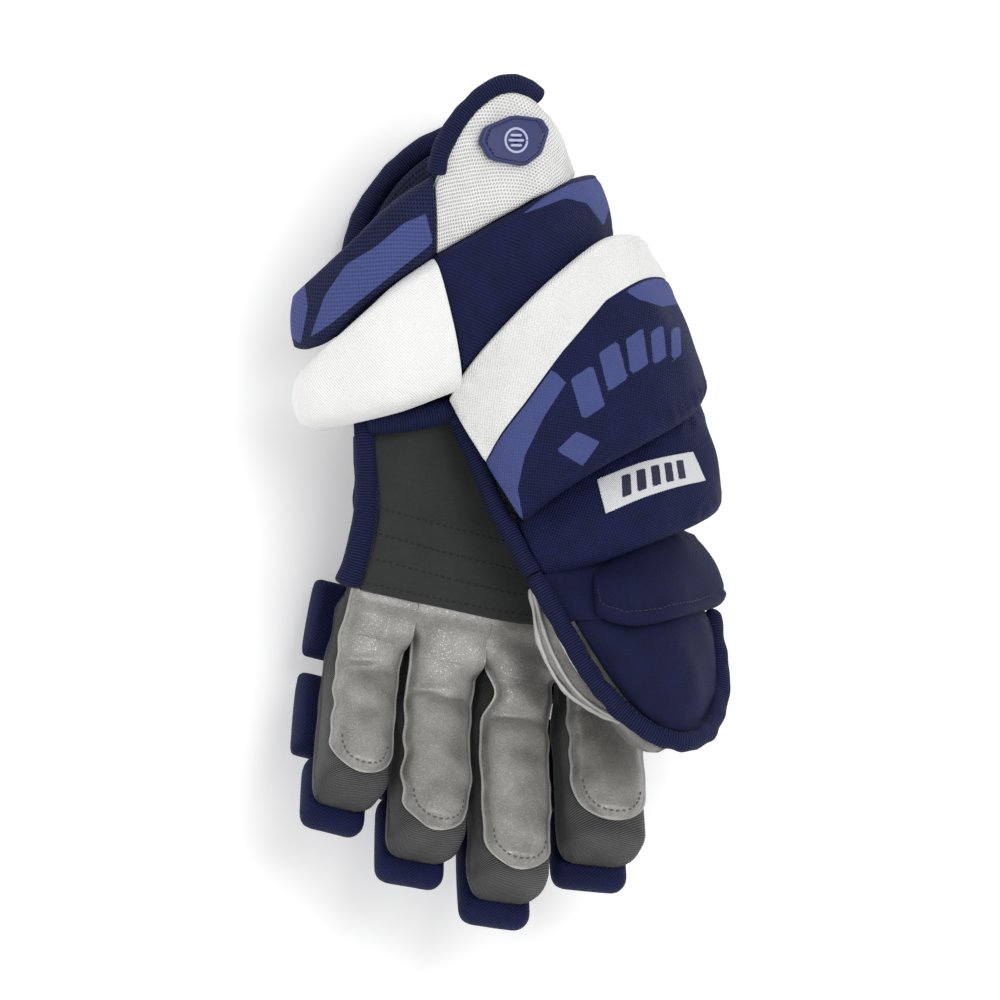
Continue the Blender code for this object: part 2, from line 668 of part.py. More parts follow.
def main():
    backhand()
    side_walls()
    palm()
    wrist()
    thumb_rolls()
    thumb()
    thumb_bindings()
    cuff()
    badge()
    for name, sizes in FINGERS.items():
        finger(name, *sizes)
    hang("thumb_hinge", seen(*THUMB_ROOT) * MM, [
        "thumb_middle_pad", "thumb_tip_pad", "thumb_pouch", "thumb_splint", "thumb_binding",
    ])
    hang("cuff_hinge", seen(*CUFF_HINGE) * MM, [
        "pinky_cuff_panel", "thumb_cuff_panel", "rear_cuff_panel", "cuff_plate", "cuff_lining",
        "front_cuff_binding", "rear_cuff_binding", "cuff_badge",
    ])


main()
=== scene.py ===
import math

import bpy
import numpy as np
from mathutils import Matrix, Vector
from mathutils.bvhtree import BVHTree


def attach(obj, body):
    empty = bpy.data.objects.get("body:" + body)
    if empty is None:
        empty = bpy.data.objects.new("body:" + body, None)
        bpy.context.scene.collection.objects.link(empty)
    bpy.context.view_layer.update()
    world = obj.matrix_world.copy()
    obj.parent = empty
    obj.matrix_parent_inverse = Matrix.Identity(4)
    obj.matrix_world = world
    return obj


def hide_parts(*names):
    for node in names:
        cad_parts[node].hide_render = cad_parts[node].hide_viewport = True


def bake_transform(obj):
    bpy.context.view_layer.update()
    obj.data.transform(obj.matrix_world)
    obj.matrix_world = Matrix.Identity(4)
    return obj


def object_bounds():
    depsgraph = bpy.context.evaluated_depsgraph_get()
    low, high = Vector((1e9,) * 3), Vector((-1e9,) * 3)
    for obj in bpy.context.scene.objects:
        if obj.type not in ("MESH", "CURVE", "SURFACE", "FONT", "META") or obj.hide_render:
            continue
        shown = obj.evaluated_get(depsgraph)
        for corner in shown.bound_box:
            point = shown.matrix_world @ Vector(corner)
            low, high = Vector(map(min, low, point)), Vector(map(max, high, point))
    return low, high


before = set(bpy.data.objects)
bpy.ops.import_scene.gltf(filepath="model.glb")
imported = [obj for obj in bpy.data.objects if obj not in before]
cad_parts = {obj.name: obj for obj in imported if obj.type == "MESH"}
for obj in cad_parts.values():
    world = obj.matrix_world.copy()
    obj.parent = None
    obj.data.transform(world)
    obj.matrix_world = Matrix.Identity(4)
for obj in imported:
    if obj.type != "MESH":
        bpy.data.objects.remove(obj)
CAD_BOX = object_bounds()

# Lengths are millimetres until a mesh is made. Places repeat those of the CAD part: many are given as
# seen(u, v, h), u across and v along in a view rolled VIEW_ROLL about the glove's long axis, h the height.
MM = 0.001
VIEW_ROLL = math.radians(17)
HINGE_HEIGHT = 46.0
STRIP_TOP = 10.0
GUSSET_FLOOR = -19.6
PAD_TOP = -20.0
PAD_BOTTOM = -35.0
BASE_RISE = 10.0
TIP_RISE = 28.0
PALM_TOP = 60.0
PALM_SHEET = 2.0
THUMB_ROOT = (30.0, -26.0, 88.5)
THUMB_LEAN = -24.0
THUMB_RISE = math.radians(11)
PICTURE_WIDTH = 0.417  # metres that the main view shows across

# name: hinge x, hinge y, lean, knuckle to middle joint, middle joint to end, half width, and how much wider
# the pads are on the side away from the thumb
FINGERS = {
    "pinky": (-72.0, -43.0, 13.5, 29.0, 63.0, 13.0, 7.0),
    "ring": (-41.5, -50.0, 11.0, 34.0, 74.0, 14.0, 0.0),
    "middle": (-9.8, -55.0, 8.0, 38.5, 82.0, 14.5, 0.0),
    "index": (28.0, -55.0, 6.0, 34.0, 70.0, 15.5, 1.0),
}


# ---- Points and lines -------------------------------------------------------------------------------------

def seen(u, v, h):
    """The point at height h that the rolled view shows at u across and v along."""
    return np.array(((u - h * math.sin(VIEW_ROLL)) / math.cos(VIEW_ROLL), v, h), float)


def in_view(points):
    """Where points show in the rolled view: u across and v along."""
    u = points[..., 0] * math.cos(VIEW_ROLL) + points[..., 2] * math.sin(VIEW_ROLL)
    return np.stack([u, points[..., 1]], axis=-1)


def on_thumb(u, v, n):
    """The point at u, v of the rolled view that is n above the plane of the thumb's splint."""
    root = seen(*THUMB_ROOT)
    lean = math.radians(THUMB_LEAN)
    h = THUMB_ROOT[2]
    # The height depends on the place and the place on the height, and four rounds settle both.
    for _ in range(4):
        point = seen(u, v, h)
        along = (root[0] - point[0]) * math.sin(lean) + (root[1] - point[1]) * math.cos(lean)
        h = THUMB_ROOT[2] + n + along * math.tan(THUMB_RISE)
    return seen(u, v, h)


def each(place, *points):
    """place(...) for each of the points."""
    return [place(*point) for point in points]


def smooth_line(points, at):
    """The points at those shares of the length of a smooth curve through the given ones."""
    points = np.array(points, float)
    ends = np.vstack([2 * points[0] - points[1], points, 2 * points[-1] - points[-2]])
    t = np.linspace(0, 1, 16, endpoint=False)[:, None]
    fine = []
    for a, b, c, d in zip(ends, ends[1:], ends[2:], ends[3:]):
        bend, twist = 2 * a - 5 * b + 4 * c - d, 3 * b - a - 3 * c + d
        fine.append(0.5 * (2 * b + (c - a) * t + bend * t**2 + twist * t**3))
    fine = np.vstack([*fine, points[-1]])
    along = np.concatenate([[0], np.cumsum(np.linalg.norm(np.diff(fine, axis=0), axis=1))])
    at = np.asarray(at) * along[-1]
    return np.stack([np.interp(at, along, column) for column in fine.T], axis=1)


def length_of(line):
    """The length of a line of points."""
    return float(np.linalg.norm(np.diff(line, axis=0), axis=1).sum())


def shares(length, step, start, end=None):
    """Shares of a length, step apart, and closer together where its ends round over with these radii."""
    end = start if end is None else end
    curve = (1 - np.cos(np.linspace(0, math.pi / 2, 7)))[:-1]
    inside = np.linspace(start, length - end, max(3, round((length - start - end) / step)) + 1)
    return np.concatenate([start * curve, inside, length - end * curve[::-1]]) / length


def rounded(x, radius):
    """0 at an edge, rising along a quarter circle to 1 at radius from it."""
    return np.sqrt(1 - (1 - np.clip(x / radius, 0, 1)) ** 2)


def smoothstep(x):
    """0 up to 0 and 1 from 1 on, with a smooth rise between."""
    x = np.clip(x, 0, 1)
    return x * x * (3 - 2 * x)


def waves(points, size, seed):
    """A smooth random height at each point, mostly from -1 to 1, with bumps about size across."""
    rng = np.random.default_rng(seed)
    total = 0.0
    for _ in range(10):
        direction = rng.normal(size=3)
        direction /= np.linalg.norm(direction) * size * rng.uniform(0.7, 1.6)
        total = total + np.sin(2 * math.pi * (points @ direction + rng.uniform()))
    return total / 3.2


def normals_of(grid):
    """The unit normals of a grid of points."""
    normal = np.cross(np.gradient(grid, axis=0), np.gradient(grid, axis=1))
    return normal / np.maximum(np.linalg.norm(normal, axis=2, keepdims=True), 1e-9)


def upward_normals(grid):
    """The normals of a grid, on the side where they mostly point up."""
    normal = normals_of(grid)
    return -normal if normal[..., 2].mean() < 0 else normal


def away_from_middle(rings):
    """The direction of each ring's points from its middle."""
    out = rings - rings.mean(axis=1, keepdims=True)
    return out / np.linalg.norm(out, axis=2, keepdims=True)


def squared_off(x, power):
    """Sines or cosines drawn towards 1 and -1, which makes a circle a rounded square."""
    return np.sign(x) * np.abs(x) ** power


def shape_distance(points, shape):
    """The signed distance of 2D points into a polygon: above 0 inside it."""
    shape = np.array(shape, float)
    best = np.full(points.shape[:-1], np.inf)
    inside = np.zeros(points.shape[:-1], bool)
    for a, b in zip(shape, np.roll(shape, -1, axis=0)):
        side = b - a
        offset = points - a
        t = np.clip((offset @ side) / (side @ side), 0, 1)
        best = np.minimum(best, np.linalg.norm(offset - t[..., None] * side, axis=-1))
        crosses = (a[1] > points[..., 1]) != (b[1] > points[..., 1])
        rise = side[1] if abs(side[1]) > 1e-9 else 1e-9
        inside ^= crosses & (points[..., 0] < side[0] * (points[..., 1] - a[1]) / rise + a[0])
    return np.where(inside, best, -best)


def printed(points, shapes, lowest=50.0):
    """The signed distance into the nearest of some shapes printed on the side that the view shows."""
    flat = in_view(points)
    nearest = np.max([shape_distance(flat, shape) for shape in shapes], axis=0)
    return np.minimum(nearest, points[..., 2] - lowest)


def rough_line(points, count):
    """A smooth line through the points, at that many places."""
    return smooth_line(points, np.linspace(0, 1, count))


def everywhere(value):
    """A rule that gives one value all over a piece."""
    return lambda s, t, points, width: np.full(points.shape[:2], float(value))


def apply_rules(rules, s, t, points, width):
    """The value of each field at shares s across a piece and t along it."""
    return {field: rule(s[None, :], t[:, None], points, width) for field, rule in (rules or {}).items()}


# ---- Meshes -----------------------------------------------------------------------------------------------

def grid_faces(index):
    """The four-sided faces of a grid of point numbers."""
    corners = [index[:-1, :-1], index[1:, :-1], index[1:, 1:], index[:-1, 1:]]
    return np.stack(corners, axis=-1).reshape(-1, 4)


def flow(grid):
    """UV lengths over a grid, in metres: along it, and across it."""
    along = np.linalg.norm(np.diff(grid, axis=0), axis=2).mean(axis=1)
    across = np.linalg.norm(np.diff(grid, axis=1), axis=2)
    u = np.concatenate([[0], np.cumsum(along)])[:, None] + np.zeros(grid.shape[1])
    v = np.concatenate([np.zeros((len(grid), 1)), np.cumsum(across, axis=1)], axis=1)
    v = v - v[:, -1:] / 2
    return np.stack([u, v], axis=-1) * MM


def make_mesh(name, points, faces, uv, fields, look):
    """A smooth-shaded object, with its UV map and one number per point for each field."""
    mesh = bpy.data.meshes.new(name)
    mesh.from_pydata((points * MM).tolist(), [], faces.tolist())
    layer = mesh.uv_layers.new(name="UVMap")
    order = np.zeros(len(mesh.loops), int)
    mesh.loops.foreach_get("vertex_index", order)
    layer.data.foreach_set("uv", uv[order].astype(np.float32).ravel())
    for field, values in fields.items():
        attribute = mesh.attributes.new(field, "FLOAT", "POINT")
        attribute.data.foreach_set("value", values.astype(np.float32))
    # The volume that the faces enclose is above 0 when they face outwards.
    volume = sum(p.center.dot(p.normal) * p.area for p in mesh.polygons)
    middle = sum((v.co for v in mesh.vertices), Vector()) / len(mesh.vertices)
    volume -= sum((p.normal * p.area for p in mesh.polygons), Vector()).dot(middle)
    if volume < 0:
        mesh.flip_normals()
    mesh.shade_smooth()
    mesh.materials.append(look)
    obj = bpy.data.objects.new(name, mesh)
    bpy.context.scene.collection.objects.link(obj)
    return obj


def envelope(name, outer, inner, look, fields=None):
    """A closed cover of an outer and an inner grid of points, sewn together along their borders."""
    rows, columns = outer.shape[:2]
    index = np.arange(rows * columns).reshape(rows, columns)
    under = index.copy()
    under[1:-1, 1:-1] = index.size + np.arange((rows - 2) * (columns - 2)).reshape(rows - 2, columns - 2)
    points = np.vstack([outer.reshape(-1, 3), inner[1:-1, 1:-1].reshape(-1, 3)])
    faces = np.vstack([grid_faces(index), grid_faces(under)[:, ::-1]])
    uv = flow(outer)
    uv = np.vstack([uv.reshape(-1, 2), uv[1:-1, 1:-1].reshape(-1, 2)])
    values = {}
    for field, value in (fields or {}).items():
        values[field] = np.concatenate([value.ravel(), value[1:-1, 1:-1].ravel()])
    return make_mesh(name, points, faces, uv, values, look)


def tube(name, rings, look, fields=None):
    """A closed skin through rings of points, drawn together at both ends."""
    count = rings.shape[1]
    start, end = rings[0].mean(axis=0), rings[-1].mean(axis=0)
    points = np.vstack([rings.reshape(-1, 3), start, end])
    index = np.arange(len(rings) * count).reshape(len(rings), count)
    index = np.concatenate([index, index[:, :1]], axis=1)
    mesh_faces = [tuple(f) for f in grid_faces(index)]
    last = len(rings) * count
    for k in range(count):
        mesh_faces.append((index[0, k + 1], index[0, k], last))
        mesh_faces.append((index[-1, k], index[-1, k + 1], last + 1))
    wrapped = np.concatenate([rings, rings[:, :1]], axis=1)
    uv = flow(wrapped)[:, :-1].reshape(-1, 2)
    uv = np.vstack([uv, uv[0], uv[-1]])
    values = {}
    for field, value in (fields or {}).items():
        values[field] = np.concatenate([value.ravel(), [value[0].mean(), value[-1].mean()]])
    faces = np.array(mesh_faces, dtype=object)
    return make_mesh(name, points, faces, uv, values, look)


def pad(name, upper, lower, root, lip, crown, look, edges, outward, seed, corner=1.5, rumple=0.35,
        relief=None, fields=None):
    """A stuffed pad between two edges: root thick at the upper, lip thick at the lower, bulging by crown.

    edges are the radii that it rounds over with at its upper and lower edges and at its start and end.
    relief(s, t, points, width) is added to the outer face's height, and fields are rules of the same kind.
    """
    step = 1.7
    one_edge, other_edge = rough_line(upper, 40), rough_line(lower, 40)
    width = float(np.linalg.norm(one_edge - other_edge, axis=1).mean())
    length = (length_of(one_edge) + length_of(other_edge)) / 2
    at_upper, at_lower, at_start, at_end = edges
    s, t = shares(width, step, at_upper, at_lower), shares(length, step, at_start, at_end)
    top, bottom = smooth_line(upper, t), smooth_line(lower, t)
    # Only the corners are rounded: rows near the ends draw in towards the middle.
    from_end = np.minimum(t, 1 - t) * length
    draw = 1 - corner / (width / 2) * (1 - rounded(from_end, corner))
    across = 0.5 + (s[None, :] - 0.5) * draw[:, None]
    base = top[:, None] + (bottom - top)[:, None] * across[..., None]
    normal = normals_of(base) * outward
    full = (rounded(s * width, at_upper) * rounded((1 - s) * width, at_lower))[None, :] * (
        rounded(t * length, at_start) * rounded((1 - t) * length, at_end)
    )[:, None]
    half = (root + (lip - root) * s) / 2
    bump = np.sin(math.pi * s**1.1) ** 0.8 * crown
    height = -half + full * (half + bump)
    depth = -half - full * (half - bump * 0.3)
    outer = base + normal * height[..., None]
    inside = np.minimum((np.minimum(s, 1 - s) * width)[None, :], from_end[:, None])
    pucker = np.exp(-(((inside - 4.5) / 3) ** 2)) * waves(base, 7, seed + 50)
    added = full * rumple * (waves(base, 24, seed) + 0.7 * pucker)
    if relief is not None:
        added = added + full * relief(s[None, :], t[:, None], outer, width)
    outer = outer + normal * added[..., None]
    inner = base + normal * depth[..., None]
    return envelope(name, outer, inner, look, apply_rules(fields, s, t, outer, width))


def leather_sheet(name, rows, thickness, look, step=1.6, rumple=0.2, seed=3, fields=None, lift=0.0):
    """A thin sheet whose top runs through rows of points, or lift above them, with its edges rolled."""
    width = length_of(rough_line(rows[len(rows) // 2], 30))
    length = length_of(np.array([np.mean(row, axis=0) for row in rows]))
    radius = thickness * 0.8
    s, t = shares(width, step, radius), shares(length, step, radius)
    lines = [smooth_line(row, s) for row in rows]
    top = np.stack([smooth_line([line[k] for line in lines], t) for k in range(len(s))], axis=1)
    normal = upward_normals(top)
    top = top + normal * lift
    full = rounded(np.minimum(s, 1 - s) * width, radius)[None, :] * rounded(
        np.minimum(t, 1 - t) * length, radius
    )[:, None]
    height = -thickness / 2 + full * (thickness / 2 + rumple * waves(top, 18, seed))
    depth = -thickness / 2 - full * thickness / 2
    outer, inner = top + normal * height[..., None], top + normal * depth[..., None]
    return envelope(name, outer, inner, look, apply_rules(fields, s, t, top, width))


def tape(name, points, radius, look, rumple=0.12, seed=5, sides=20, step=0.8, facing=(0, 0, 1), size=None,
         ends=None):
    """A rolled edge tape along a smooth line, rounded over at its ends with these radii.

    size gives the share of the radius at some shares of the length.
    """
    length = length_of(rough_line(points, 60))
    start, end = ends or (radius, radius)
    t = shares(length, step, start, end)
    line = smooth_line(points, t)
    along = np.gradient(line, axis=0)
    along /= np.linalg.norm(along, axis=1, keepdims=True)
    side = np.cross(along, np.array(facing, float))
    side /= np.linalg.norm(side, axis=1, keepdims=True)
    up = np.cross(side, along)
    swell = rounded(t * length, start) * rounded((1 - t) * length, end)
    if size is not None:
        swell = swell * np.interp(t, *size)
    angle = np.linspace(0, 2 * math.pi, sides, endpoint=False)
    rings = line[:, None] + radius * swell[:, None, None] * (
        side[:, None] * np.cos(angle)[None, :, None] + up[:, None] * np.sin(angle)[None, :, None]
    )
    out = rings - line[:, None]
    out /= np.maximum(np.linalg.norm(out, axis=2, keepdims=True), 1e-6)
    rings = rings + out * (rumple * waves(rings, 9, seed) * swell[:, None])[..., None]
    return tube(name, rings, look)


def surface_of(obj):
    """A tree of the object's faces, to lay stitches on."""
    faces = [tuple(p.vertices) for p in obj.data.polygons]
    return BVHTree.FromPolygons([v.co for v in obj.data.vertices], faces)


def stitches(name, lines, under, look, body, pitch, long, radius, sink=0.1):
    """Rows of stitches laid on a piece along lines of points, as one piece: each long, pitch apart."""
    surface = surface_of(under)
    points, faces, uv = [], [], []
    for line in lines:
        length = length_of(rough_line(line, 80))
        for k in range(max(1, int(length / pitch))):
            at = (np.array([k * pitch, k * pitch + long / 2, k * pitch + long]) + 0.2) / length
            ends = []
            for p in smooth_line(line, np.clip(at, 0, 1)):
                place, normal, _, _ = surface.find_nearest(Vector(p * MM))
                ends.append((np.array(place) / MM, np.array(normal)))
            add_stitch(ends, radius, sink, points, faces, uv)
    obj = make_mesh(name, np.array(points), np.array(faces), np.array(uv), {}, look)
    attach(obj, body)


def add_stitch(ends, radius, sink, points, faces, uv):
    """One stitch: a short bowed thread, thin at both ends where it goes into the cloth."""
    (a, n), (b, m), (c, o) = ends
    along = c - a
    along /= max(np.linalg.norm(along), 1e-6)
    start = len(points)
    sides = 6
    # share of the length, share of the radius, share of the radius that it stands up by
    rings = ((0, 0.3, -0.5), (0.15, 0.85, 0.3), (0.5, 1.0, 1.0), (0.85, 0.85, 0.3), (1, 0.3, -0.5))
    for share, size, lift in rings:
        centre = a + (c - a) * share
        normal = n if share < 0.4 else (m if share < 0.6 else o)
        side = np.cross(along, normal)
        side /= max(np.linalg.norm(side), 1e-6)
        bow = 4 * share * (1 - share)
        centre = centre + (b - (a + c) / 2) * bow + normal * (lift * radius * 0.7 - sink)
        for k in range(sides):
            angle = 2 * math.pi * k / sides
            out = side * math.cos(angle) * 1.15 + normal * math.sin(angle)
            points.append(centre + radius * size * out)
            uv.append((share * 0.002, k * 0.0003))
    for ring in range(len(rings) - 1):
        for k in range(sides):
            p, q = start + ring * sides + k, start + ring * sides + (k + 1) % sides
            faces.append((p, q, q + sides, p + sides))


def soft(obj, body, nodes=()):
    """Puts a soft piece on its body, in place of CAD nodes, which it hides."""
    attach(obj, body)
    declare(nodes)


def declare(nodes):
    """Hides the CAD nodes that a piece stands for."""
    if nodes:
        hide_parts(*nodes)


def stuffed(node, body, slot, fill, *shape, **settings):
    """A pad in place of one CAD node, fixed to a body. fill is not used."""
    obj = pad(node + "_cover", *shape, **settings)
    soft(obj, body, [node])
    return obj


def edge_tape(node, body, points, radius, **settings):
    """A navy edge tape in place of one CAD node, fixed to a body."""
    obj = tape(node + "_cover", points, radius, navy_tape, **settings)
    soft(obj, body, [node])
    return obj


def cloth(obj):
    """Works out a thin piece's width, length and area from its UV map and faces, and does nothing with them.
    """
    uv = np.zeros(len(obj.data.loops) * 2, np.float32)
    obj.data.uv_layers[0].data.foreach_get("uv", uv)
    span = np.ptp(uv.reshape(-1, 2), axis=0)
    area = sum(p.area for p in obj.data.polygons) / 2
    width, length = float(span[1]), float(span[0])
    area = max(min(area, width * length), 0.31 * width * length)


# ---- Materials --------------------------------------------------------------------------------------------

def srgb(red, green, blue):
    """A linear colour from 0-255 values."""
    linear = [c / 255 / 12.92 if c < 10 else ((c / 255 + 0.055) / 1.055) ** 2.4 for c in (red, green, blue)]
    return (*linear, 1)


NAVY = srgb(22, 27, 62)
NAVY_DARK = srgb(6, 8, 26)
NAVY_LIGHT = srgb(28, 35, 88)
PRINT_BLUE = srgb(76, 86, 142)
WHITE = srgb(250, 250, 249)


class Look:
    """A material being put together: a Principled shader and short calls for the nodes that feed it."""

    def __init__(self, name, **fixed):
        self.material = bpy.data.materials.new(name)
        self.material.use_nodes = True
        self.tree = self.material.node_tree
        self.shader = self.tree.nodes["Principled BSDF"]
        for socket, value in fixed.items():
            self.shader.inputs[socket.replace("_", " ")].default_value = value

    def node(self, kind, inputs=(), **settings):
        """A new node with these settings, its inputs fed from sockets or set to values."""
        made = self.tree.nodes.new("ShaderNode" + kind)
        for key, value in settings.items():
            setattr(made, key, value)
        for socket, value in dict(inputs).items():
            self.feed(made.inputs[socket], value)
        return made

    def feed(self, socket, value):
        if isinstance(value, bpy.types.NodeSocket):
            self.tree.links.new(value, socket)
        else:
            socket.default_value = value

    def math(self, operation, *values, clamp=False):
        made = self.node("Math", operation=operation, use_clamp=clamp)
        for socket, value in zip(made.inputs, values):
            self.feed(socket, value)
        return made.outputs[0]

    def mix(self, share, a, b):
        made = self.node("Mix", data_type="RGBA")
        for socket, value in zip((made.inputs[0], made.inputs[6], made.inputs[7]), (share, a, b)):
            self.feed(socket, value)
        return made.outputs[2]

    def noise(self, size, detail):
        """Noise from 0 to 1 with lumps of that size in millimetres."""
        place = self.node("TexCoord").outputs["Object"]
        made = self.node("TexNoise", {"Vector": place, "Scale": 1000.0 / size, "Detail": detail})
        return made.outputs["Fac"]

    def jitter(self, noise, amount, value):
        """The value, moved up and down by the noise."""
        return self.math("MULTIPLY_ADD", self.math("SUBTRACT", noise, 0.5), amount, value)

    def steps(self, value, low, high):
        """0 below low, 1 above high."""
        made = self.node("MapRange", {"Value": value, "From Min": low, "From Max": high})
        return made.outputs[0]

    def uv(self):
        """The UV map's two lengths in millimetres: along the piece, and across it."""
        split = self.node("SeparateXYZ", {0: self.node("UVMap", uv_map="UVMap").outputs[0]})
        return [self.math("MULTIPLY", split.outputs[k], 1000.0) for k in (0, 1)]

    def field(self, name):
        return self.node("Attribute", attribute_name=name).outputs["Fac"]

    def stripe(self, length, pitch, phase=0.0):
        """A smooth wave from -1 to 1 that repeats each pitch."""
        turn = self.math("MULTIPLY_ADD", length, 2 * math.pi / pitch, phase)
        return self.math("SINE", turn)

    def done(self, colour, roughness, height, depth):
        """Feeds the shader. depth is the height's full range in millimetres."""
        self.feed(self.shader.inputs["Base Color"], colour)
        self.feed(self.shader.inputs["Roughness"], roughness)
        bump = self.node("Bump", {"Height": height, "Distance": depth * MM, "Strength": 1.0})
        self.feed(self.shader.inputs["Normal"], bump.outputs[0])
        return self.material


def basket(look, pitch):
    """The height of a plain weave: yarns pitch apart that go over and under each other."""
    u, v = look.uv()
    over = look.math("MULTIPLY", look.stripe(u, 2 * pitch), look.stripe(v, 2 * pitch))
    yarn = look.math("MULTIPLY", look.stripe(u, pitch, 1.5), look.stripe(v, pitch, 1.5))
    return look.math("MULTIPLY_ADD", yarn, 0.35, over)


def hexagons(look, pitch):
    """The height of an open knit: small holes pitch apart, in staggered rows."""
    u, v = look.uv()
    total = look.stripe(u, pitch)
    for side in (0.866, -0.866):
        turned = look.math("MULTIPLY_ADD", v, side, look.math("MULTIPLY", u, 0.5))
        total = look.math("ADD", total, look.stripe(turned, pitch, 2.1))
    return look.math("MULTIPLY", total, 0.5)


def twill(look, pitch):
    """The height of a ribbed cloth: fine slanting ribs with threads across them."""
    u, v = look.uv()
    rib = look.stripe(look.math("MULTIPLY_ADD", v, 0.55, u), pitch)
    thread = look.stripe(look.math("MULTIPLY_ADD", u, -0.3, v), pitch * 0.8)
    return look.math("MULTIPLY_ADD", thread, 0.3, rib)


def fabric(name, weave, pitch, dark, light, depth, rough=0.75, printed_in=None, zone_in=None, **fixed):
    """A woven or knitted cloth. Fields "print" and "zone" paint it in other colours where they are above 0.

    printed_in is the print's colour, and zone_in the dark and light colours of the zone.
    """
    look = Look(name, **fixed)
    height = weave(look, pitch)
    thread = look.steps(height, -0.9, 0.9)
    mottle = look.noise(9.0, 4.0)
    fuzz = look.noise(0.45, 2.0)
    shade = look.jitter(fuzz, 0.5, thread)
    shade = look.math("MULTIPLY_ADD", look.math("SUBTRACT", mottle, 0.5), 0.6, shade, clamp=True)
    colour = look.mix(shade, dark, light)
    if printed_in is not None:
        worn_print = (*(0.72 * c for c in printed_in[:3]), 1)
        faded = look.mix(look.steps(shade, 0.0, 0.5), worn_print, printed_in)
        ragged = look.jitter(fuzz, 0.8, look.field("print"))
        colour = look.mix(look.steps(ragged, -0.12, 0.12), colour, faded)
    if zone_in is not None:
        other = look.mix(shade, *zone_in)
        colour = look.mix(look.steps(look.field("zone"), -0.12, 0.12), colour, other)
    worn = look.math("MULTIPLY_ADD", mottle, 0.12, rough - 0.06)
    relief = look.jitter(fuzz, 0.7, height)
    return look.done(colour, worn, relief, depth)


SHEEN = {
    "Sheen_Weight": 0.06, "Sheen_Roughness": 0.35, "Sheen_Tint": srgb(120, 130, 200),
    "Specular_IOR_Level": 0.2,
}


def ribbed_tape(name, dark, light):
    """Knitted binding: fine ribs across the tape, uneven like the real thing."""
    look = Look(name, **SHEEN)
    u, _ = look.uv()
    wander = look.noise(6.0, 2.0)
    rib = look.stripe(look.math("MULTIPLY_ADD", wander, 0.9, u), 1.15)
    fuzz = look.noise(0.4, 2.0)
    height = look.jitter(fuzz, 0.8, rib)
    colour = look.mix(look.steps(height, -1.0, 1.1), dark, light)
    return look.done(colour, look.math("MULTIPLY_ADD", wander, 0.15, 0.68), height, 0.28)


def silver_leather():
    """Soft leather with a metal finish: fine grain, tiny sparkles, and lighter along its sewn edge."""
    look = Look("silver_leather", Metallic=0.45, Coat_Weight=0.12, Coat_Roughness=0.35,
                Specular_IOR_Level=0.6)
    broad = look.noise(14.0, 3.0)
    grain = look.noise(0.55, 4.0)
    cells = look.node("TexVoronoi", {"Vector": look.node("TexCoord").outputs["Object"], "Scale": 2600.0})
    tint = look.node("SeparateColor", {0: cells.outputs["Color"]}).outputs[0]
    sparkle = look.steps(tint, 0.88, 0.98)
    shade = look.math("MULTIPLY_ADD", grain, 0.5, look.math("MULTIPLY", broad, 0.6), clamp=True)
    colour = look.mix(look.steps(shade, 0.25, 0.85), srgb(84, 83, 81), srgb(172, 170, 165))
    colour = look.mix(look.math("MULTIPLY", look.field("edge"), 0.6), colour, srgb(186, 186, 181))
    # Painted glints: the sparkles are painted lighter, as well as being less rough.
    colour = look.mix(look.math("MULTIPLY", sparkle, 0.24), colour, srgb(226, 226, 226))
    rough = look.math("MULTIPLY_ADD", sparkle, -0.18, look.math("MULTIPLY_ADD", broad, 0.2, 0.36))
    height = look.math("MULTIPLY_ADD", broad, 0.6, grain)
    return look.done(colour, rough, height, 0.12)


def grey_suede():
    """Dark suede with a matt nap."""
    look = Look("palm_suede", Sheen_Weight=0.12, Sheen_Roughness=0.6, Specular_IOR_Level=0.2)
    nap = look.noise(0.5, 5.0)
    broad = look.noise(11.0, 3.0)
    shade = look.math("MULTIPLY_ADD", nap, 0.7, look.math("MULTIPLY", broad, 0.45), clamp=True)
    colour = look.mix(shade, srgb(24, 25, 26), srgb(58, 59, 59))
    return look.done(colour, look.math("MULTIPLY_ADD", broad, 0.1, 0.85), nap, 0.16)


def plain_look(name, colour, worn_colour, roughness, grain=0.4, depth=0.03, **fixed):
    """Moulded rubber or plastic, or thread: a fine grain, slight mottling and a little wear."""
    look = Look(name, **fixed)
    fine = look.noise(grain, 3.0)
    broad = look.noise(7.0, 3.0)
    shade = look.math("MULTIPLY_ADD", fine, 0.4, look.math("MULTIPLY", broad, 0.5), clamp=True)
    rough = look.math("MULTIPLY_ADD", broad, 0.16, roughness - 0.08)
    return look.done(look.mix(shade, colour, worn_colour), rough, fine, depth)


navy_weave = fabric("navy_weave", basket, 0.85, NAVY_DARK, NAVY_LIGHT, 0.2, printed_in=PRINT_BLUE, **SHEEN)
navy_fine = fabric("navy_fine_weave", basket, 0.6, NAVY_DARK, srgb(27, 33, 80), 0.14, **SHEEN)
navy_knit = fabric("navy_knit", hexagons, 1.5, srgb(8, 10, 26), srgb(36, 42, 84), 0.22,
                   printed_in=PRINT_BLUE, **SHEEN)
white_knit = fabric("white_knit", hexagons, 1.35, srgb(196, 196, 194), WHITE, 0.22, rough=0.8)
white_weave = fabric("white_weave", twill, 1.0, srgb(234, 234, 232), WHITE, 0.09, rough=0.8)
side_roll_weave = fabric(
    "side_roll_weave", basket, 0.85, NAVY_DARK, NAVY_LIGHT, 0.2, printed_in=PRINT_BLUE,
    zone_in=(srgb(228, 228, 226), WHITE), **SHEEN,
)
# Its zone colours are painted shade: they darken the finger sleeves between the fingers, where shade falls.
dark_mesh = fabric("dark_mesh", twill, 1.2, srgb(22, 22, 23), srgb(92, 92, 92), 0.28, rough=0.6,
                   zone_in=(srgb(4, 4, 5), srgb(26, 26, 28)), Sheen_Weight=0.06, Sheen_Roughness=0.4)
lining_knit = fabric("lining_knit", hexagons, 1.6, srgb(12, 14, 32), srgb(38, 43, 82), 0.18, rough=0.85)
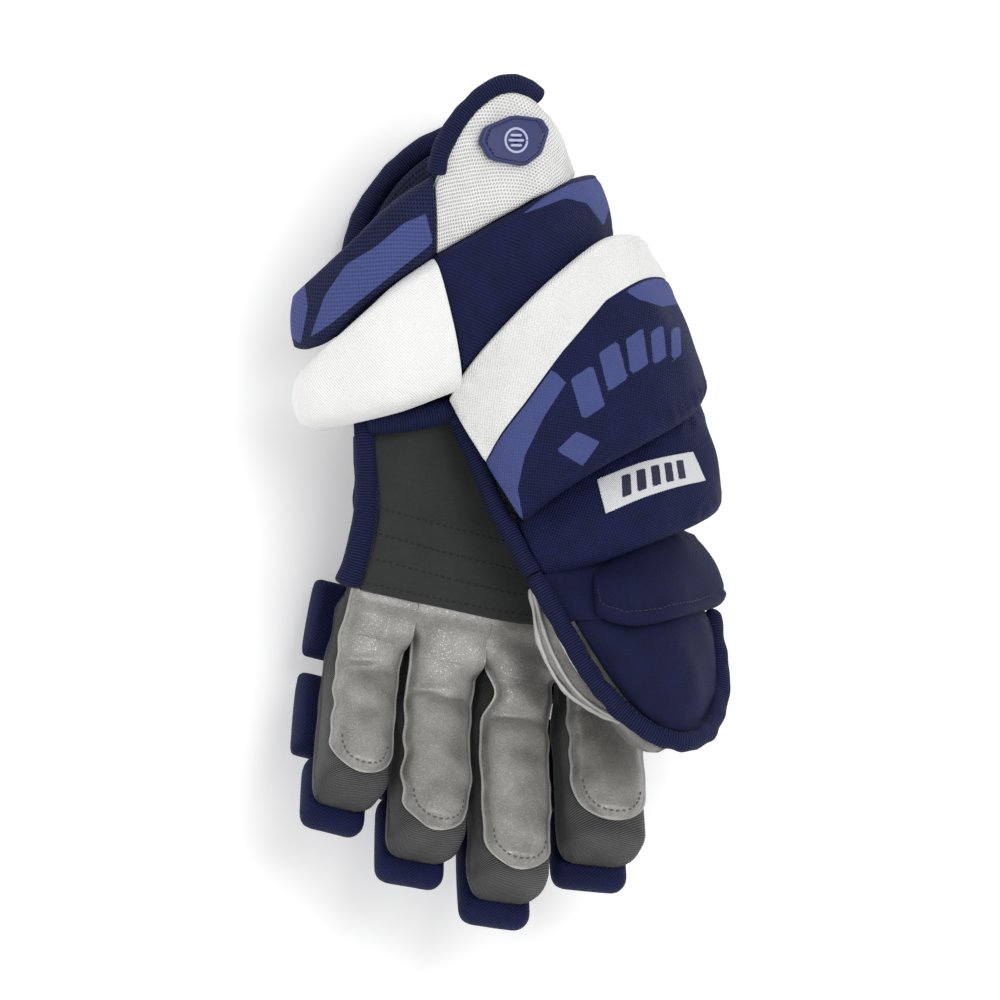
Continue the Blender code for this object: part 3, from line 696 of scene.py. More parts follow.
label_satin = fabric("label_satin", twill, 0.7, srgb(196, 197, 200), srgb(226, 227, 230), 0.06, rough=0.5,
                     printed_in=NAVY)
navy_tape = ribbed_tape("navy_tape_ribs", srgb(8, 10, 30), srgb(33, 40, 90))
silver = silver_leather()
suede = grey_suede()
rubber = plain_look("badge_rubber", srgb(28, 34, 84), srgb(42, 50, 110), 0.5,
                    Coat_Weight=0.1, Coat_Roughness=0.4)
emblem = plain_look("emblem_rubber", srgb(168, 172, 208), srgb(196, 199, 226), 0.45)
plastic = plain_look("splint_plastic", srgb(214, 213, 206), srgb(228, 227, 221), 0.42, grain=1.2)
plaster_white = plain_look("floor", srgb(252, 252, 252), srgb(255, 255, 255), 0.9, grain=9.0, depth=0.02,
                           Emission_Color=(1.0, 1.0, 1.0, 1.0), Emission_Strength=0.2)
black_thread = plain_look("black_thread", srgb(14, 14, 15), srgb(30, 30, 32), 0.6)
grey_thread = plain_look("grey_thread", srgb(70, 70, 70), srgb(100, 100, 99), 0.5)
navy_thread = plain_look("navy_thread", srgb(12, 15, 40), srgb(30, 36, 76), 0.5)
white_thread = plain_look("white_thread", srgb(206, 206, 203), srgb(226, 226, 224), 0.6)
silver_edge = plain_look("silver_piping", srgb(168, 168, 166), srgb(200, 200, 197), 0.4, Metallic=0.35)
liner_cloth = plain_look("liner_cloth", srgb(18, 20, 40), srgb(34, 38, 66), 0.9, grain=0.8, depth=0.1)

NO_PRINT = {"print": everywhere(-1)}
NO_EDGE = {"edge": everywhere(0)}


# ---- Fingers ----------------------------------------------------------------------------------------------

class Finger:
    """Places on a finger: d along it from the knuckle, a across away from the thumb, n towards the palm."""

    def __init__(self, name):
        x, y, lean, self.to_middle, self.to_end, self.half, self.outer_pad = FINGERS[name]
        self.name = name
        self.leather_half = self.half + 0.9
        self.cut = self.to_middle * 0.55  # where its leather and sleeve change from the base to the tip
        self.sleeve_end = self.to_middle + self.to_end - 8.5
        self.hinge = np.array((x, y, HINGE_HEIGHT))
        self.lean = math.radians(lean)
        self.across = np.array((-math.cos(self.lean), math.sin(self.lean), 0.0))
        # The finger's line is a chain of short steps, shifted so that it passes through the knuckle at 0.
        self.knots = np.linspace(-30, self.to_middle + self.to_end + 10, 300)
        rise = self.rise(self.knots)
        step = np.gradient(self.knots)[:, None] * self.ahead(rise)
        path = np.cumsum(step, axis=0)
        self.path = path - [np.interp(0, self.knots, path[:, k]) for k in range(3)] + self.hinge

    def rise(self, d):
        """How steeply the finger climbs at d, in radians."""
        return np.radians(BASE_RISE + (TIP_RISE - BASE_RISE) * smoothstep((d - self.to_middle + 5) / 10))

    def ahead(self, rise):
        """The direction along the finger where it climbs that steeply."""
        flat = np.cos(rise)
        return np.stack([-math.sin(self.lean) * flat, -math.cos(self.lean) * flat, np.sin(rise)], axis=-1)

    def at(self, d, a, n):
        """The points at d, a, n, which may be arrays of one shape."""
        d, a, n = np.broadcast_arrays(np.asarray(d, float), a, n)
        rise = self.rise(d)
        palm = np.cross(np.broadcast_to(self.across, rise.shape + (3,)), self.ahead(rise))
        centre = np.stack([np.interp(d, self.knots, self.path[:, k]) for k in range(3)], axis=-1)
        return centre + a[..., None] * self.across + n[..., None] * palm

    def joint(self, which):
        """The start and end points of the bend at the knuckle or the middle joint."""
        d = 0.0 if which == "knuckle" else self.to_middle
        return self.at(d - 9, 0.0, 0.0) * MM, self.at(d + 9, 0.0, 0.0) * MM


# Where each finger's leather starts, under the suede: the sides away from and towards the thumb
PALM_SEAM = {
    "pinky": (seen(-65, -34.5, 58.4), seen(-37, -39.5, 58.0)),
    "ring": (seen(-37, -39.5, 58.0), seen(-6, -45.5, 58.4)),
    "middle": (seen(-6, -45.5, 58.4), seen(25, -47.5, 58.4)),
    "index": (seen(25, -47.5, 58.4), seen(59, -46.0, 57.5)),
}
# For both sides of a finger: how far down it the leather runs on into its neighbour's, and how much wider
# the leather is there
WEBS = {
    "pinky": ((-20, 0), (10.5, 1.8)),
    "ring": ((3.5, 1.8), (15, 1.4)),
    "middle": ((10, 1.4), (13, 3.6)),
    "index": ((12, 4.2), (-20, 0)),
}
LEATHER_REACH = {"pinky": 1.8, "ring": 3.2, "middle": 2.8, "index": -2.2}
NARROW_AT = {"middle": 27.0}  # where a fold draws the leather in on the side away from the thumb
FLANGE = 1.4  # the flat sewn edge of the finger leather
LEATHER_START = 7.0


def leather_end(finger):
    """How far down the finger its palm leather reaches."""
    return finger.to_middle + finger.to_end - 14.5 + LEATHER_REACH[finger.name]


def dome(to_end):
    """The share of a sleeve's height that is left this far from its end."""
    return (1 - (1 - np.clip(to_end / 9.0, 0, 1)) ** 3) ** (1 / 3)


def dip(finger, d):
    """How far the leather has sunk at d, as it follows the sleeve over its end."""
    return 26.0 * (1 - dome(finger.sleeve_end - d))


def overlay_grid(finger, s, d):
    """The outer face of a finger's palm leather at shares s across it and places d along it.

    Also gives how near each point is to the sewn edge, from 0 to 1.
    """
    half = finger.leather_half
    end = leather_end(finger)
    to_end = (end - d)[:, None]
    outline = np.maximum(half * rounded(to_end, half * 0.95), 0.8)
    line = np.stack([d, 0 * d, 0 * d], axis=1)
    # The reach to both sides: the outline's own, more of it in the web, a sewn wobble and the fold
    sides = []
    for k, (web, cover) in enumerate(WEBS[finger.name]):
        joined = 1 - smoothstep((d - web) / 8)[:, None]
        wobble = 0.55 * waves(line, 13, len(finger.name) + 7 * k)[:, None] * rounded(to_end, half)
        folded = 4.6 * np.exp(-(((d - NARROW_AT.get(finger.name, -90)) / 8) ** 2))[:, None] * (k == 0)
        sides.append((outline + cover * joined + wobble - folded, joined))
    (outer_side, outer_joined), (inner_side, inner_joined) = sides
    a = outer_side - s[None, :] * (outer_side + inner_side)
    to_outer, to_inner = outer_side - a + 8 * outer_joined, a + inner_side + 8 * inner_joined
    to_edge = np.minimum(np.minimum(to_outer, to_inner), to_end)
    # Inside the flat edge the leather is puffed up, less so over the joints, and rounds off to its sides.
    puff = rounded(to_edge - FLANGE, 4.0) * (to_edge > FLANGE)
    bend = np.exp(-(((d - finger.to_middle) / 6) ** 2))[:, None] + 0.4 * np.exp(-((d / 6) ** 2))[:, None]
    joined = np.where(a > 0, outer_joined, inner_joined)
    round_off = 3.6 * (np.abs(a) / half) ** 2.2 * (1 - joined)
    fold = 0.25 * joined * np.exp(-((np.minimum(outer_side - a, a + inner_side) / 2.5) ** 2))
    n = STRIP_TOP - 1.8 + puff * (3.2 - 1.2 * bend) - round_off - fold - dip(finger, d)[:, None]
    grid = finger.at(np.broadcast_to(d[:, None], a.shape), a, n)
    creases = 0.30 * waves(grid * (0.5, 1.0, 1), 15, 11) + 0.25 * waves(grid, 30, 12)
    creases = creases + 0.4 * bend * waves(grid * (0.2, 1.3, 1), 6, 13)
    grid[..., 2] += puff * creases
    # Towards the palm it leaves the finger and runs straight to its seam under the suede.
    near = smoothstep((LEATHER_START + 5 - d) / 15)[:, None, None]
    seam_outer, seam_inner = PALM_SEAM[finger.name]
    seam = seam_outer + (seam_inner - seam_outer) * s[:, None]
    first = finger.at(LEATHER_START, a, n)
    back = np.clip((LEATHER_START - d) / (LEATHER_START + 9), 0, 1)[:, None, None]
    palm_part = first + (seam[None] - first) * back
    palm_part[..., 2] += puff * 1.2 * np.sin(math.pi * back[..., 0])
    grid = grid * (1 - near) + palm_part * near
    return grid, 1 - smoothstep((to_edge - 0.5) / 0.5)


def finger_leather(finger):
    """The silver leather over the palm side of a finger: one piece over the knuckle, and one to the tip."""
    half = finger.leather_half
    middle = finger.cut
    end = leather_end(finger)
    edge = FLANGE * np.linspace(0, 1, 5)[:-1]
    inside = np.linspace(FLANGE, 2 * half - FLANGE, 26)
    s = np.concatenate([edge, inside, 2 * half - edge[::-1]]) / (2 * half)
    # The base piece ends a little under the tip piece, whose first rows lie close together.
    reach = {
        "base": (np.arange(-9, middle + 3, 1.2), ("hand", finger.name + "_base"), "knuckle"),
        "tip": (
            np.concatenate([
                middle + np.array((-0.2, -0.1, 0.0, 0.15)), np.arange(middle + 0.8, end - 14, 1.2),
                end - 14 * np.linspace(1, 0, 24) ** 1.7,
            ]),
            (finger.name + "_base", finger.name + "_tip"), "middle",
        ),
    }
    for part, (d, bodies, joint) in reach.items():
        outer, edge_share = overlay_grid(finger, s, d)
        normal = upward_normals(outer)
        if part == "base":
            outer = outer - normal * (0.5 * smoothstep((d - middle + 0.2) / 1.0))[:, None, None]
        inner = outer - normal * 1.2
        obj = envelope(f"{finger.name}_{part}_leather", outer, inner, silver, {"edge": edge_share})
        nodes = [f"{finger.name}_{part}_strip"]
        if part == "base" and finger.name == "ring":
            nodes.append("palm_lower")
        declare(nodes)
        cloth(obj)
        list(finger.joint(joint))
        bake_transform(obj)
    tip_stitches(finger, end)


def tip_stitches(finger, end):
    """Thread along the rolled edge of the finger leather, round its end."""
    leather = bpy.data.objects[finger.name + "_tip_leather"]
    inset = 2.3
    line = []
    for angle in np.linspace(-0.1, math.pi + 0.1, 30):
        reach = finger.leather_half - inset
        d = end - inset - reach * 0.95 + reach * 0.95 * math.sin(angle)
        line.append(finger.at(d, reach * math.cos(angle), STRIP_TOP + 1.5 - dip(finger, d)))
    stitches(finger.name + "_leather_stitches", [line], leather, grey_thread, finger.name + "_tip",
             pitch=2.9, long=1.9, radius=0.33, sink=0.0)


def finger_sleeve(finger):
    """The dark mesh tube round a finger, under its leather: one piece over the knuckle, one to the tip."""
    top = STRIP_TOP - 3.4
    middle = finger.cut
    end = finger.sleeve_end
    reach = {
        "base": (np.arange(-14, middle + 1, 2.2), ("hand", finger.name + "_base"), "knuckle", False),
        "tip": (
            np.concatenate([np.arange(middle - 1, end - 12, 2.2), end - 12 * np.linspace(1, 0, 22) ** 2.2]),
            (finger.name + "_base", finger.name + "_tip"), "middle", True,
        ),
    }
    angle = np.linspace(0, 2 * math.pi, 56, endpoint=False)
    for part, (d, bodies, joint, closed) in reach.items():
        left = dome(end - d) if closed else np.ones(len(d))
        # Each sleeve swells towards its neighbours, but for the gap that lets the fingers bend apart.
        swell = 0.4 + 1.5 * np.clip(d / 40, 0, 1)
        away = finger.half + swell * (1.6 if finger.name == "index" else 1.0)
        near = finger.half + swell
        width = np.where(np.cos(angle)[None, :] > 0, away[:, None], near[:, None])
        width = width * (0.5 + 0.5 * left**0.8)[:, None]
        low = np.full(len(d), GUSSET_FLOOR + 0.2)
        high = low + 0.8 + (top - low - 0.8) * left
        if not closed:
            width = width - 4.0 * smoothstep((2 - d) / 12)[:, None]
            high = high - 5.0 * smoothstep((4 - d) / 10)
        a = squared_off(np.cos(angle), 0.62) * width
        share = squared_off(np.sin(angle), 0.62)
        n = (high + low)[:, None] / 2 + share * (high - low)[:, None] / 2
        rings = finger.at(np.broadcast_to(d[:, None], a.shape), a, n)
        crease = np.exp(-(((d - finger.to_middle) / 3) ** 2))[:, None]
        folds = (0.35 * waves(rings, 16, 31) - 0.5 * crease * (share > 0)) * left[:, None]
        rings = rings + away_from_middle(rings) * folds[..., None]
        # Painted shade: the mesh is darkest between the fingers, where shade falls, and lightens towards
        # their tips.
        shade = 0.12 - 0.24 * smoothstep((d - 18) / 32)
        zone = np.broadcast_to(shade[:, None], rings.shape[:2])
        obj = tube(f"{finger.name}_{part}_sleeve", rings, dark_mesh, {"zone": zone})
        declare([f"{finger.name}_{part}_gusset"])
        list(finger.joint(joint))
        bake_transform(obj)


def finger_pads(finger):
    """The three navy pads over the back of a finger."""
    side, inner = finger.half + max(finger.outer_pad, 1.0), finger.half + 0.8
    middle, end = finger.to_middle, finger.to_middle + finger.to_end
    middle_end = finger.to_end * 0.47
    thick = PAD_TOP - PAD_BOTTOM - 1.5
    reach = {
        "base_pad": (-12.0, middle - 7.6, side, 2.5, (4.5, 8.0, 4.0, 4.0), "_base"),
        "middle_pad": (middle - 1.4, middle + middle_end - 0.7, side, 2.5, (8.0, 4.5, 4.0, 4.0), "_tip"),
        "tip_pad": (middle + middle_end - 0.3, end, finger.half + 1.0, 7.0, (4.5, 4.5, 4.0, 4.0), "_tip"),
    }
    for part, (start, stop, outer_half, corner, edges, body) in reach.items():
        drop = 3.0 if part == "tip_pad" else 0.0
        ends = []
        for d, level in ((start, PAD_BOTTOM + 1.5), (stop, PAD_BOTTOM + 1.5 + drop)):
            ends.append([finger.at(d, a, level) for a in np.linspace(-inner, outer_half, 4)])
        stuffed(
            f"{finger.name}_{part}", finger.name + body, "navy_fabric", 0.8,
            *ends, thick, thick - drop, 1.6, navy_weave,
            outward=facing_down(ends), corner=min(corner, (stop - start) / 2.6), rumple=0.3, seed=len(part),
            edges=edges, fields=NO_PRINT,
        )


def facing_down(ends):
    """1 or -1, so that a pad between these edges bulges away from the palm."""
    along = np.array(ends[0][-1]) - np.array(ends[0][0])
    across = np.array(ends[1][0]) - np.array(ends[0][0])
    return 1 if np.cross(along, across)[2] < 0 else -1


# ---- Back of the hand -------------------------------------------------------------------------------------

def backhand():
    """The three rolls over the back of the hand, which the glove lies on."""
    rolls = {
        "backhand_roll_upper": (-66, 60, (29.5, 33.5), (7.4, 9.4)),
        "backhand_roll_middle": (-67, 61, (5.6, 7.6), (-15.6, -15.6)),
        "backhand_roll_knuckle": (-68, 61, (-17.4, -17.4), (-30.6, -39.6)),
    }
    for name, (left, right, upper, lower) in rolls.items():
        edges = []
        for y1, y2 in (upper, lower):
            edges.append([
                (left, y1, 12.0), (left + 9, y1, 6.5), (-40, y1, 4.2), (0, (y1 + y2) / 2, 4.0),
                (40, y2, 4.2), (right - 9, y2, 6.5), (right, y2, 12.0),
            ])
        stuffed(
            name, "hand", "navy_fabric", 0.8, *edges, 16, 16, 3.4, navy_weave, outward=facing_down(edges),
            corner=6, rumple=0.25, seed=21, edges=(7.0, 7.0, 6.0, 6.0), fields=NO_PRINT,
        )


def side_walls():
    """The navy cloth that joins the back to the palm, on the pinky side and on the index side."""
    walls = {"pinky_side_wall": (-72, -4, 29, -30), "index_side_wall": (57, 3, 44, -42)}
    for name, (x, bulge, y1, y2) in walls.items():
        rows = []
        for y in np.linspace(y1, y2, 5):
            rows.append([(x, y, 13), (x, y, 21), (x + bulge, y, 32), (x + bulge, y, 46), (x, y, 59)])
        obj = leather_sheet(name + "_cover", rows, 2.2, navy_weave, rumple=0.5, fields=NO_PRINT)
        soft(obj, "hand", [name])
        cloth(obj)


def palm():
    """The suede heel with its stitch lines, and the tapes round the palm opening."""
    h = PALM_TOP
    rows = [
        each(seen, (-57, 32, h), (-38, 34.5, h), (-20, 38, h), (14, 32, h - 2)),
        each(seen, (-53, -5, h), (-30, -8, h - 2), (-4, -11, h - 1), (30, -14, h - 1)),
        each(seen, (-61, -35.8, h + 0.2), (-28, -43.2, h - 0.2), (8, -50.4, h + 0.2), (40, -49.5, h)),
    ]
    heel = leather_sheet("palm_heel_cover", rows, PALM_SHEET, suede, rumple=0.45, seed=8)
    soft(heel, "hand", ["palm_heel"])
    cloth(heel)
    lines = []
    rows = ((-54, -1.5, 24, -22), (-54, -12.5, 26, -33), (-55, -23, 28, -43.5), (-59, -33, 20, -49))
    for u1, v1, u2, v2 in rows:
        lines.append(each(seen, (u1, v1, h), ((u1 + u2) / 2, (v1 + v2) / 2 - 0.6, h), (u2, v2, h)))
    stitches("palm_heel_stitches", lines, heel, black_thread, "hand", pitch=2.9, long=2.0, radius=0.3)
    line = each(seen, (-60, 40, h - 2), (-59.5, 27, h), (-59, 5, h), (-62, -18, h), (-67, -34.5, h - 1.5))
    edge_tape("pinky_binding", "hand", line, 4.8, seed=6, ends=(2, 2), size=((0, 0.6, 1), (0.9, 0.95, 1.15)))
    line = each(seen, (-59, 33.5, 63), (-40, 35.5, 65.5), (-19, 40, 68))
    edge_tape("wrist_binding", "hand", line, 5.4, seed=7, ends=(2, 2))


def thumb_side():
    """The leather that climbs from the palm to the thumb, behind the edge tape."""
    rows = [
        each(seen, (-22, 35, 66), (-10.5, 13, 72), (-1, -6, 78), (11.5, -28, 84)),
        each(seen, (-16, 36, 62.2), (-2, 13, 62.4), (8, -6, 62.6), (18, -28, 63)),
    ]
    side = leather_sheet("thumb_side_leather_cover", rows, 1.6, silver, fields=NO_EDGE)
    soft(side, "hand", ["thumb_side_leather"])
    cloth(side)


# ---- Wrist and cuff ---------------------------------------------------------------------------------------

def wrist():
    """The white and navy rolls at the front of the wrist, and the one behind."""
    stuffed(
        "pinky_wrist_roll", "hand", "white_fabric", 0.7,
        each(seen, (-29.0, 101.8, 86), (-56, 82.5, 83), (-82, 60, 58), (-77, 60, 28), (-60, 66, 10)),
        each(seen, (-17.8, 47.0, 83), (-46, 37, 82), (-81, 30, 58), (-75, 34, 28), (-60, 38, 10)),
        11, 11, 7.5, white_weave, (2.5, 5.5, 1.2, 5), outward=1, rumple=0.7, seed=2,
    )
    print_shapes = [
        [(6, 120), (16, 128), (26, 133), (40, 137), (44, 128), (40, 116), (33, 125), (24, 127), (14, 123)],
    ]
    stuffed(
        "thumb_wrist_roll", "hand", "navy_fabric", 0.6,
        each(seen, (-29.8, 101.8, 86), (0, 118.5, 89), (24, 132, 82), (35, 138, 60), (31, 137, 32),
             (24, 134, 22)),
        each(seen, (-18.5, 54, 82), (-1, 70, 84), (20, 88, 85), (43, 108, 60), (38, 110, 32),
             (30, 109, 22)),
        9, 9, 3, navy_weave, (2.0, 3, 1.0, 4), outward=-1, rumple=0.4, seed=4,
        fields={"print": lambda s, t, points, width: printed(points, print_shapes)},
    )
    stuffed(
        "rear_wrist_roll", "hand", "navy_fabric", 0.6,
        each(seen, (-57, 66, 10), (-26, 90, 6), (4, 114, 9), (18, 125, 14)),
        each(seen, (-55, 38, 10), (-16, 40, 6), (14, 80, 9), (30, 100, 14)),
        6, 6, 3, navy_weave, (3, 3, 3, 3), outward=1, seed=9, fields=NO_PRINT,
    )


def cuff_fold(obj):
    """Bakes a piece's transform into its mesh."""
    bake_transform(obj)


def cuff_panels():
    """The navy panel on the pinky side and the white knitted one under the badge."""
    print_shapes = [
        [(-67, 99), (-55, 106), (-43, 116), (-34, 120), (-31, 108), (-55, 89), (-74, 74), (-82, 69),
         (-76, 86)],
        [(-91, 88), (-85, 95), (-83, 82), (-86, 66), (-91, 70)],
    ]
    pinky = pad(
        "pinky_cuff_panel_cover",
        each(seen, (-30.6, 135.5, 84), (-50, 122.5, 82), (-67, 108, 73), (-88, 89, 52), (-84, 89, 32),
             (-77, 90, 19)),
        each(seen, (-29.6, 102.6, 82), (-55, 85.3, 78), (-75, 68.8, 68), (-88, 64, 50), (-84, 67, 32),
             (-76, 71, 19)),
        8, 8, 2, navy_knit, (3, 2, 0.8, 4), outward=1, seed=12,
        fields={"print": lambda s, t, points, width: printed(points, print_shapes, 45.0)},
    )
    declare(["pinky_cuff_panel"])
    cuff_fold(pinky)
    thumb_panel = pad(
        "thumb_cuff_panel_cover",
        each(seen, (-30.2, 131, 84), (-24, 146, 86), (-16, 160, 87), (-7, 168, 87), (0.5, 171, 87),
             (9.5, 169, 85), (16.5, 161.5, 76), (17.5, 155, 56), (12.5, 153, 36), (6, 151, 21)),
        each(seen, (-29.4, 102.8, 82), (-15, 111, 84), (-5, 117, 85), (5, 122.5, 85), (12, 126.5, 84),
             (19, 129.5, 81), (26, 133.5, 71), (28, 137, 54), (23, 141, 36), (16, 142, 21)),
        8, 8, 2.2, white_knit, (1.2, 2, 0.8, 4), outward=-1, rumple=0.5, seed=13,
    )
    declare(["thumb_cuff_panel"])
    cuff_fold(thumb_panel)


def rear_cuff():
    """The rear panel of the cuff and the lining seen inside it."""
    lower = [(-69, 81, 17), (-60, 88, 12), (-36, 104, 10), (-6, 124, 10), (8, 133, 12), (17, 140, 19)]
    upper = [(-63, 100, 16), (-59, 116, 12), (-50, 131, 9.5), (-39, 142.5, 9), (-25.5, 150.5, 9),
             (-7, 153.5, 11), (8, 152, 19)]
    lower, upper = each(seen, *lower), each(seen, *upper)
    at = np.linspace(0, 1, 9)
    middle = [(a + b) / 2 for a, b in zip(smooth_line(lower, at), smooth_line(upper, at))]
    rows = [lower, middle, upper]
    panel = leather_sheet("rear_cuff_panel_cover", rows, 8.0, navy_weave, fields=NO_PRINT)
    soft(panel, "cuff", ["rear_cuff_panel"])
    lining = leather_sheet("cuff_lining_cover", rows, 1.6, lining_knit, rumple=0.3, lift=4.2)
    soft(lining, "cuff", ["cuff_lining"])
    cloth(lining)


def cuff_tapes():
    """The edge tapes of the cuff's front and rear."""
    line = each(seen, (-29.8, 136, 83), (-27.2, 147, 84), (-18.7, 161, 84), (-8, 170.8, 84), (0.5, 174, 84),
                (7.5, 172.4, 83), (12.6, 168.6, 80))
    front = edge_tape("front_cuff_binding", "cuff", line, 4.2, rumple=0.2, ends=(1.5, 1.5))
    inner_edge = each(seen, (-26.8, 136, 86), (-24.3, 146.2, 87), (-16.6, 158.8, 87), (-7, 167.8, 87),
                      (0.5, 170.6, 87), (7, 169, 86), (10.5, 166.4, 84))
    stitches("front_cuff_binding_stitches", [inner_edge], front, black_thread, "cuff", pitch=2.0, long=1.4,
             radius=0.28)
    line = each(seen, (-66.5, 101, 14), (-62.5, 118, 9), (-53, 134, 6), (-41, 146.5, 5), (-27, 154.5, 5),
                (-8, 158, 7), (8, 157, 14))
    edge_tape("rear_cuff_binding", "cuff", line, 4.2, rumple=0.2)


def wrist_lining():
    """The knitted sleeve that the wrist goes through, from the hand into the cuff."""
    stations = (
        # across and along the rolled view, height, half width, half height, turn
        (8, -10, 42, 50, 13, 0),
        (2, 28, 43, 54, 15, 8),
        (-12, 60, 45, 57, 24, 26),
        (-22, 88, 45, 58, 28, 34),
        (-29, 112, 46, 55, 28, 34),
        (-31, 124, 46, 49, 27, 34),
    )
    t = np.linspace(0, 1, 45)
    line = smooth_line([(*seen(u, v, h), wide, high, turn) for u, v, h, wide, high, turn in stations], t)
    turn = np.radians(line[:, 5])
    across = np.stack([np.cos(turn), np.sin(turn), 0 * turn], axis=1)
    angle = np.linspace(0, 2 * math.pi, 90, endpoint=False)
    up = np.array((0.0, 0.0, 1.0))
    walls = []
    for inset in (0.0, 1.6):  # the outer wall, and the inner one
        wide = across[:, None] * ((line[:, 3] - inset)[:, None, None] * np.cos(angle)[None, :, None])
        high = up * ((line[:, 4] - inset)[:, None, None] * np.sin(angle)[None, :, None])
        walls.append(line[:, None, :3] + wide + high)
    rings = np.concatenate([walls[0], walls[1][::-1]])
    rings = rings + (0.8 * waves(rings, 20, 91))[..., None] * up
    obj = tube("wrist_lining", rings, lining_knit)
    cloth(obj)
    cuff_fold(obj)


def badge():
    """The rubber badge: a raised rim, stitches inside it, and a plain emblem of three bars in a ring."""
    centre = seen(3.0, 150.5, 90.4)
    across = np.array((0.993, 0.0, -0.119))
    normal = np.cross(across, (0.0, 1.0, -0.02))
    normal /= np.linalg.norm(normal)
    up = np.cross(normal, across)

    def on_badge(a, b, n):
        return centre + across * a + up * b + normal * n

    tilt = math.radians(5)
    corners = np.array([(-16, 0.5), (-13, 6.6), (0, 10.6), (13, 8.2), (16, 3.2), (11.5, -6.4), (3, -11.2),
                        (-12, -7.2)])
    corners = corners @ np.array(((math.cos(tilt), math.sin(tilt)), (-math.sin(tilt), math.cos(tilt))))
    outline = []
    for k, here in enumerate(corners):
        before, after = corners[k - 1], corners[(k + 1) % len(corners)]
        for share in np.linspace(0, 1, 7):
            round_off = (before - here) * 0.2 * (1 - share) ** 2 + (after - here) * 0.2 * share**2
            outline.append(here + round_off)
    outline = np.array(outline)
    # share of the outline, height
    levels = ((0.2, -2.6), (0.9, -2.4), (0.985, -2.2), (1.0, -1.4), (1.0, 0.5), (0.985, 1.15), (0.95, 1.4),
              (0.9, 1.35), (0.875, 1.05), (0.86, 0.75), (0.8, 0.7), (0.4, 0.75), (0.1, 0.8))
    rings = []
    for size, n in levels:
        rings.append([on_badge(*(p * size), n - 0.045 * (p[0] * size / 4) ** 2) for p in outline])
    body = tube("cuff_badge_body", np.array(rings), rubber)
    soft(body, "cuff", ["cuff_badge"])
    loop = [on_badge(*(p * 0.82), 1.4) for p in outline[::2]] + [on_badge(*(outline[0] * 0.82), 1.4)]
    stitches("cuff_badge_stitches", [loop], body, black_thread, "cuff", pitch=1.7, long=1.2, radius=0.25)
    ring = [on_badge(4.9 * math.cos(a), 4.9 * math.sin(a), 1.0) for a in np.linspace(0, 2 * math.pi, 40)]
    marks = {"ring": (ring, 0.55)}
    for k, reach in enumerate((2.6, 3.6, 2.6)):
        across_at = 2.1 - 2.1 * k
        marks[f"bar_{k + 1}"] = ([on_badge(a, across_at, 1.0) for a in (-reach, 0, reach)], 0.6)
    for mark, (line, radius) in marks.items():
        obj = tape("cuff_badge_" + mark, line, radius, emblem, rumple=0.0, sides=10, step=0.6,
                   facing=normal)
        soft(obj, "cuff")


# ---- Thumb ------------------------------------------------------------------------------------------------

# Where the side roll changes from its white band to navy: share across it, at shares along it
DIVIDE_AT = ((0, 0.17, 0.3, 0.45, 0.62, 0.75, 1), (0.52, 0.43, 0.34, 0.26, 0.27, 0.3, 0.3))


def past_divide(s, t, points, width):
    """How far past the white band's seam a place on the side roll is."""
    return (np.interp(t, *DIVIDE_AT) - s) * width


def side_roll():
    """The big roll down the outside of the thumb: a white band sewn to a navy part with printed blocks."""
    shapes = []
    corners = ((-0.5, 0.42), (0.5, 0.58), (0.5, -0.42), (-0.5, -0.58))
    # place, width, height and lean of each printed bar
    bars = ((33, 46, 10, 17, 0.5), (43.5, 57, 8.5, 16, 0.4), (53.5, 63, 7.5, 15, 0.25),
            (62.5, 66, 5.5, 14, 0.15), (70, 67, 4, 13, 0.05))
    for u, v, wide, high, lean in bars:
        slant = lean * high * 0.6
        shapes.append([(u + wide * a - slant * b, v + high * b + wide * a * 0.35) for a, b in corners])
    shapes += [
        [(-12, 14), (-4, 27), (6, 43), (17, 57), (24, 50), (15, 36), (7, 20), (4, 6), (7, -10), (2, -10)],
        [(20, 22), (28.5, 30), (38, 25.5), (31, 15.5)],
        [(46, 90), (56, 95), (68, 96), (74, 84), (64, 82), (54, 85)],
    ]

    def relief(s, t, points, width):
        past = np.abs(past_divide(s, t, points, width))
        pucker = 0.25 * np.exp(-(((past - 4) / 2) ** 2)) * waves(points, 6, 77)
        return -1.0 * np.exp(-((past / 1.3) ** 2)) + pucker

    def print_rule(s, t, points, width):
        return np.minimum(printed(points, shapes), -past_divide(s, t, points, width) - 1.0)

    stuffed(
        "thumb_side_roll", "hand", "white_fabric", 0.7,
        each(seen, (-25.5, 43, 75), (-17, 57, 83), (-1, 75, 92), (18, 93, 97), (42, 111, 90), (55, 112, 66),
             (55, 104, 40), (46, 96, 18)),
        each(seen, (5.5, -8, 91), (17, 1.5, 99), (38, 15, 108), (59, 26, 108), (79, 37.5, 94), (84, 46, 66),
             (77, 50, 40), (62, 52, 18)),
        8, 10, 3.2, side_roll_weave, (2.0, 4.0, 2.0, 4), outward=-1, rumple=0.7, seed=15, relief=relief,
        fields={"zone": past_divide, "print": print_rule},
    )


def label_roll():
    """The navy roll below the big one, which the woven label is sewn to."""
    return stuffed(
        "thumb_label_roll", "hand", "navy_fabric", 0.7,
        each(seen, (2.5, -7.5, 79), (18, 4.5, 86), (39, 18.5, 92), (60, 29.5, 92), (76, 41, 79),
             (79, 45, 58)),
        each(seen, (14.2, -30.2, 90.5), (38, -22.5, 103), (59, -15, 107), (80, -8, 98), (90, -3, 76),
             (86, 1, 58)),
        6, 10, 3.0, navy_weave, (2.5, 4.5, 2.5, 4), outward=-1, rumple=0.6, seed=16, fields=NO_PRINT,
    )


def between(a, b, share):
    """The point that share of the way from a to b."""
    return np.array(a) * (1 - share) + np.array(b) * share


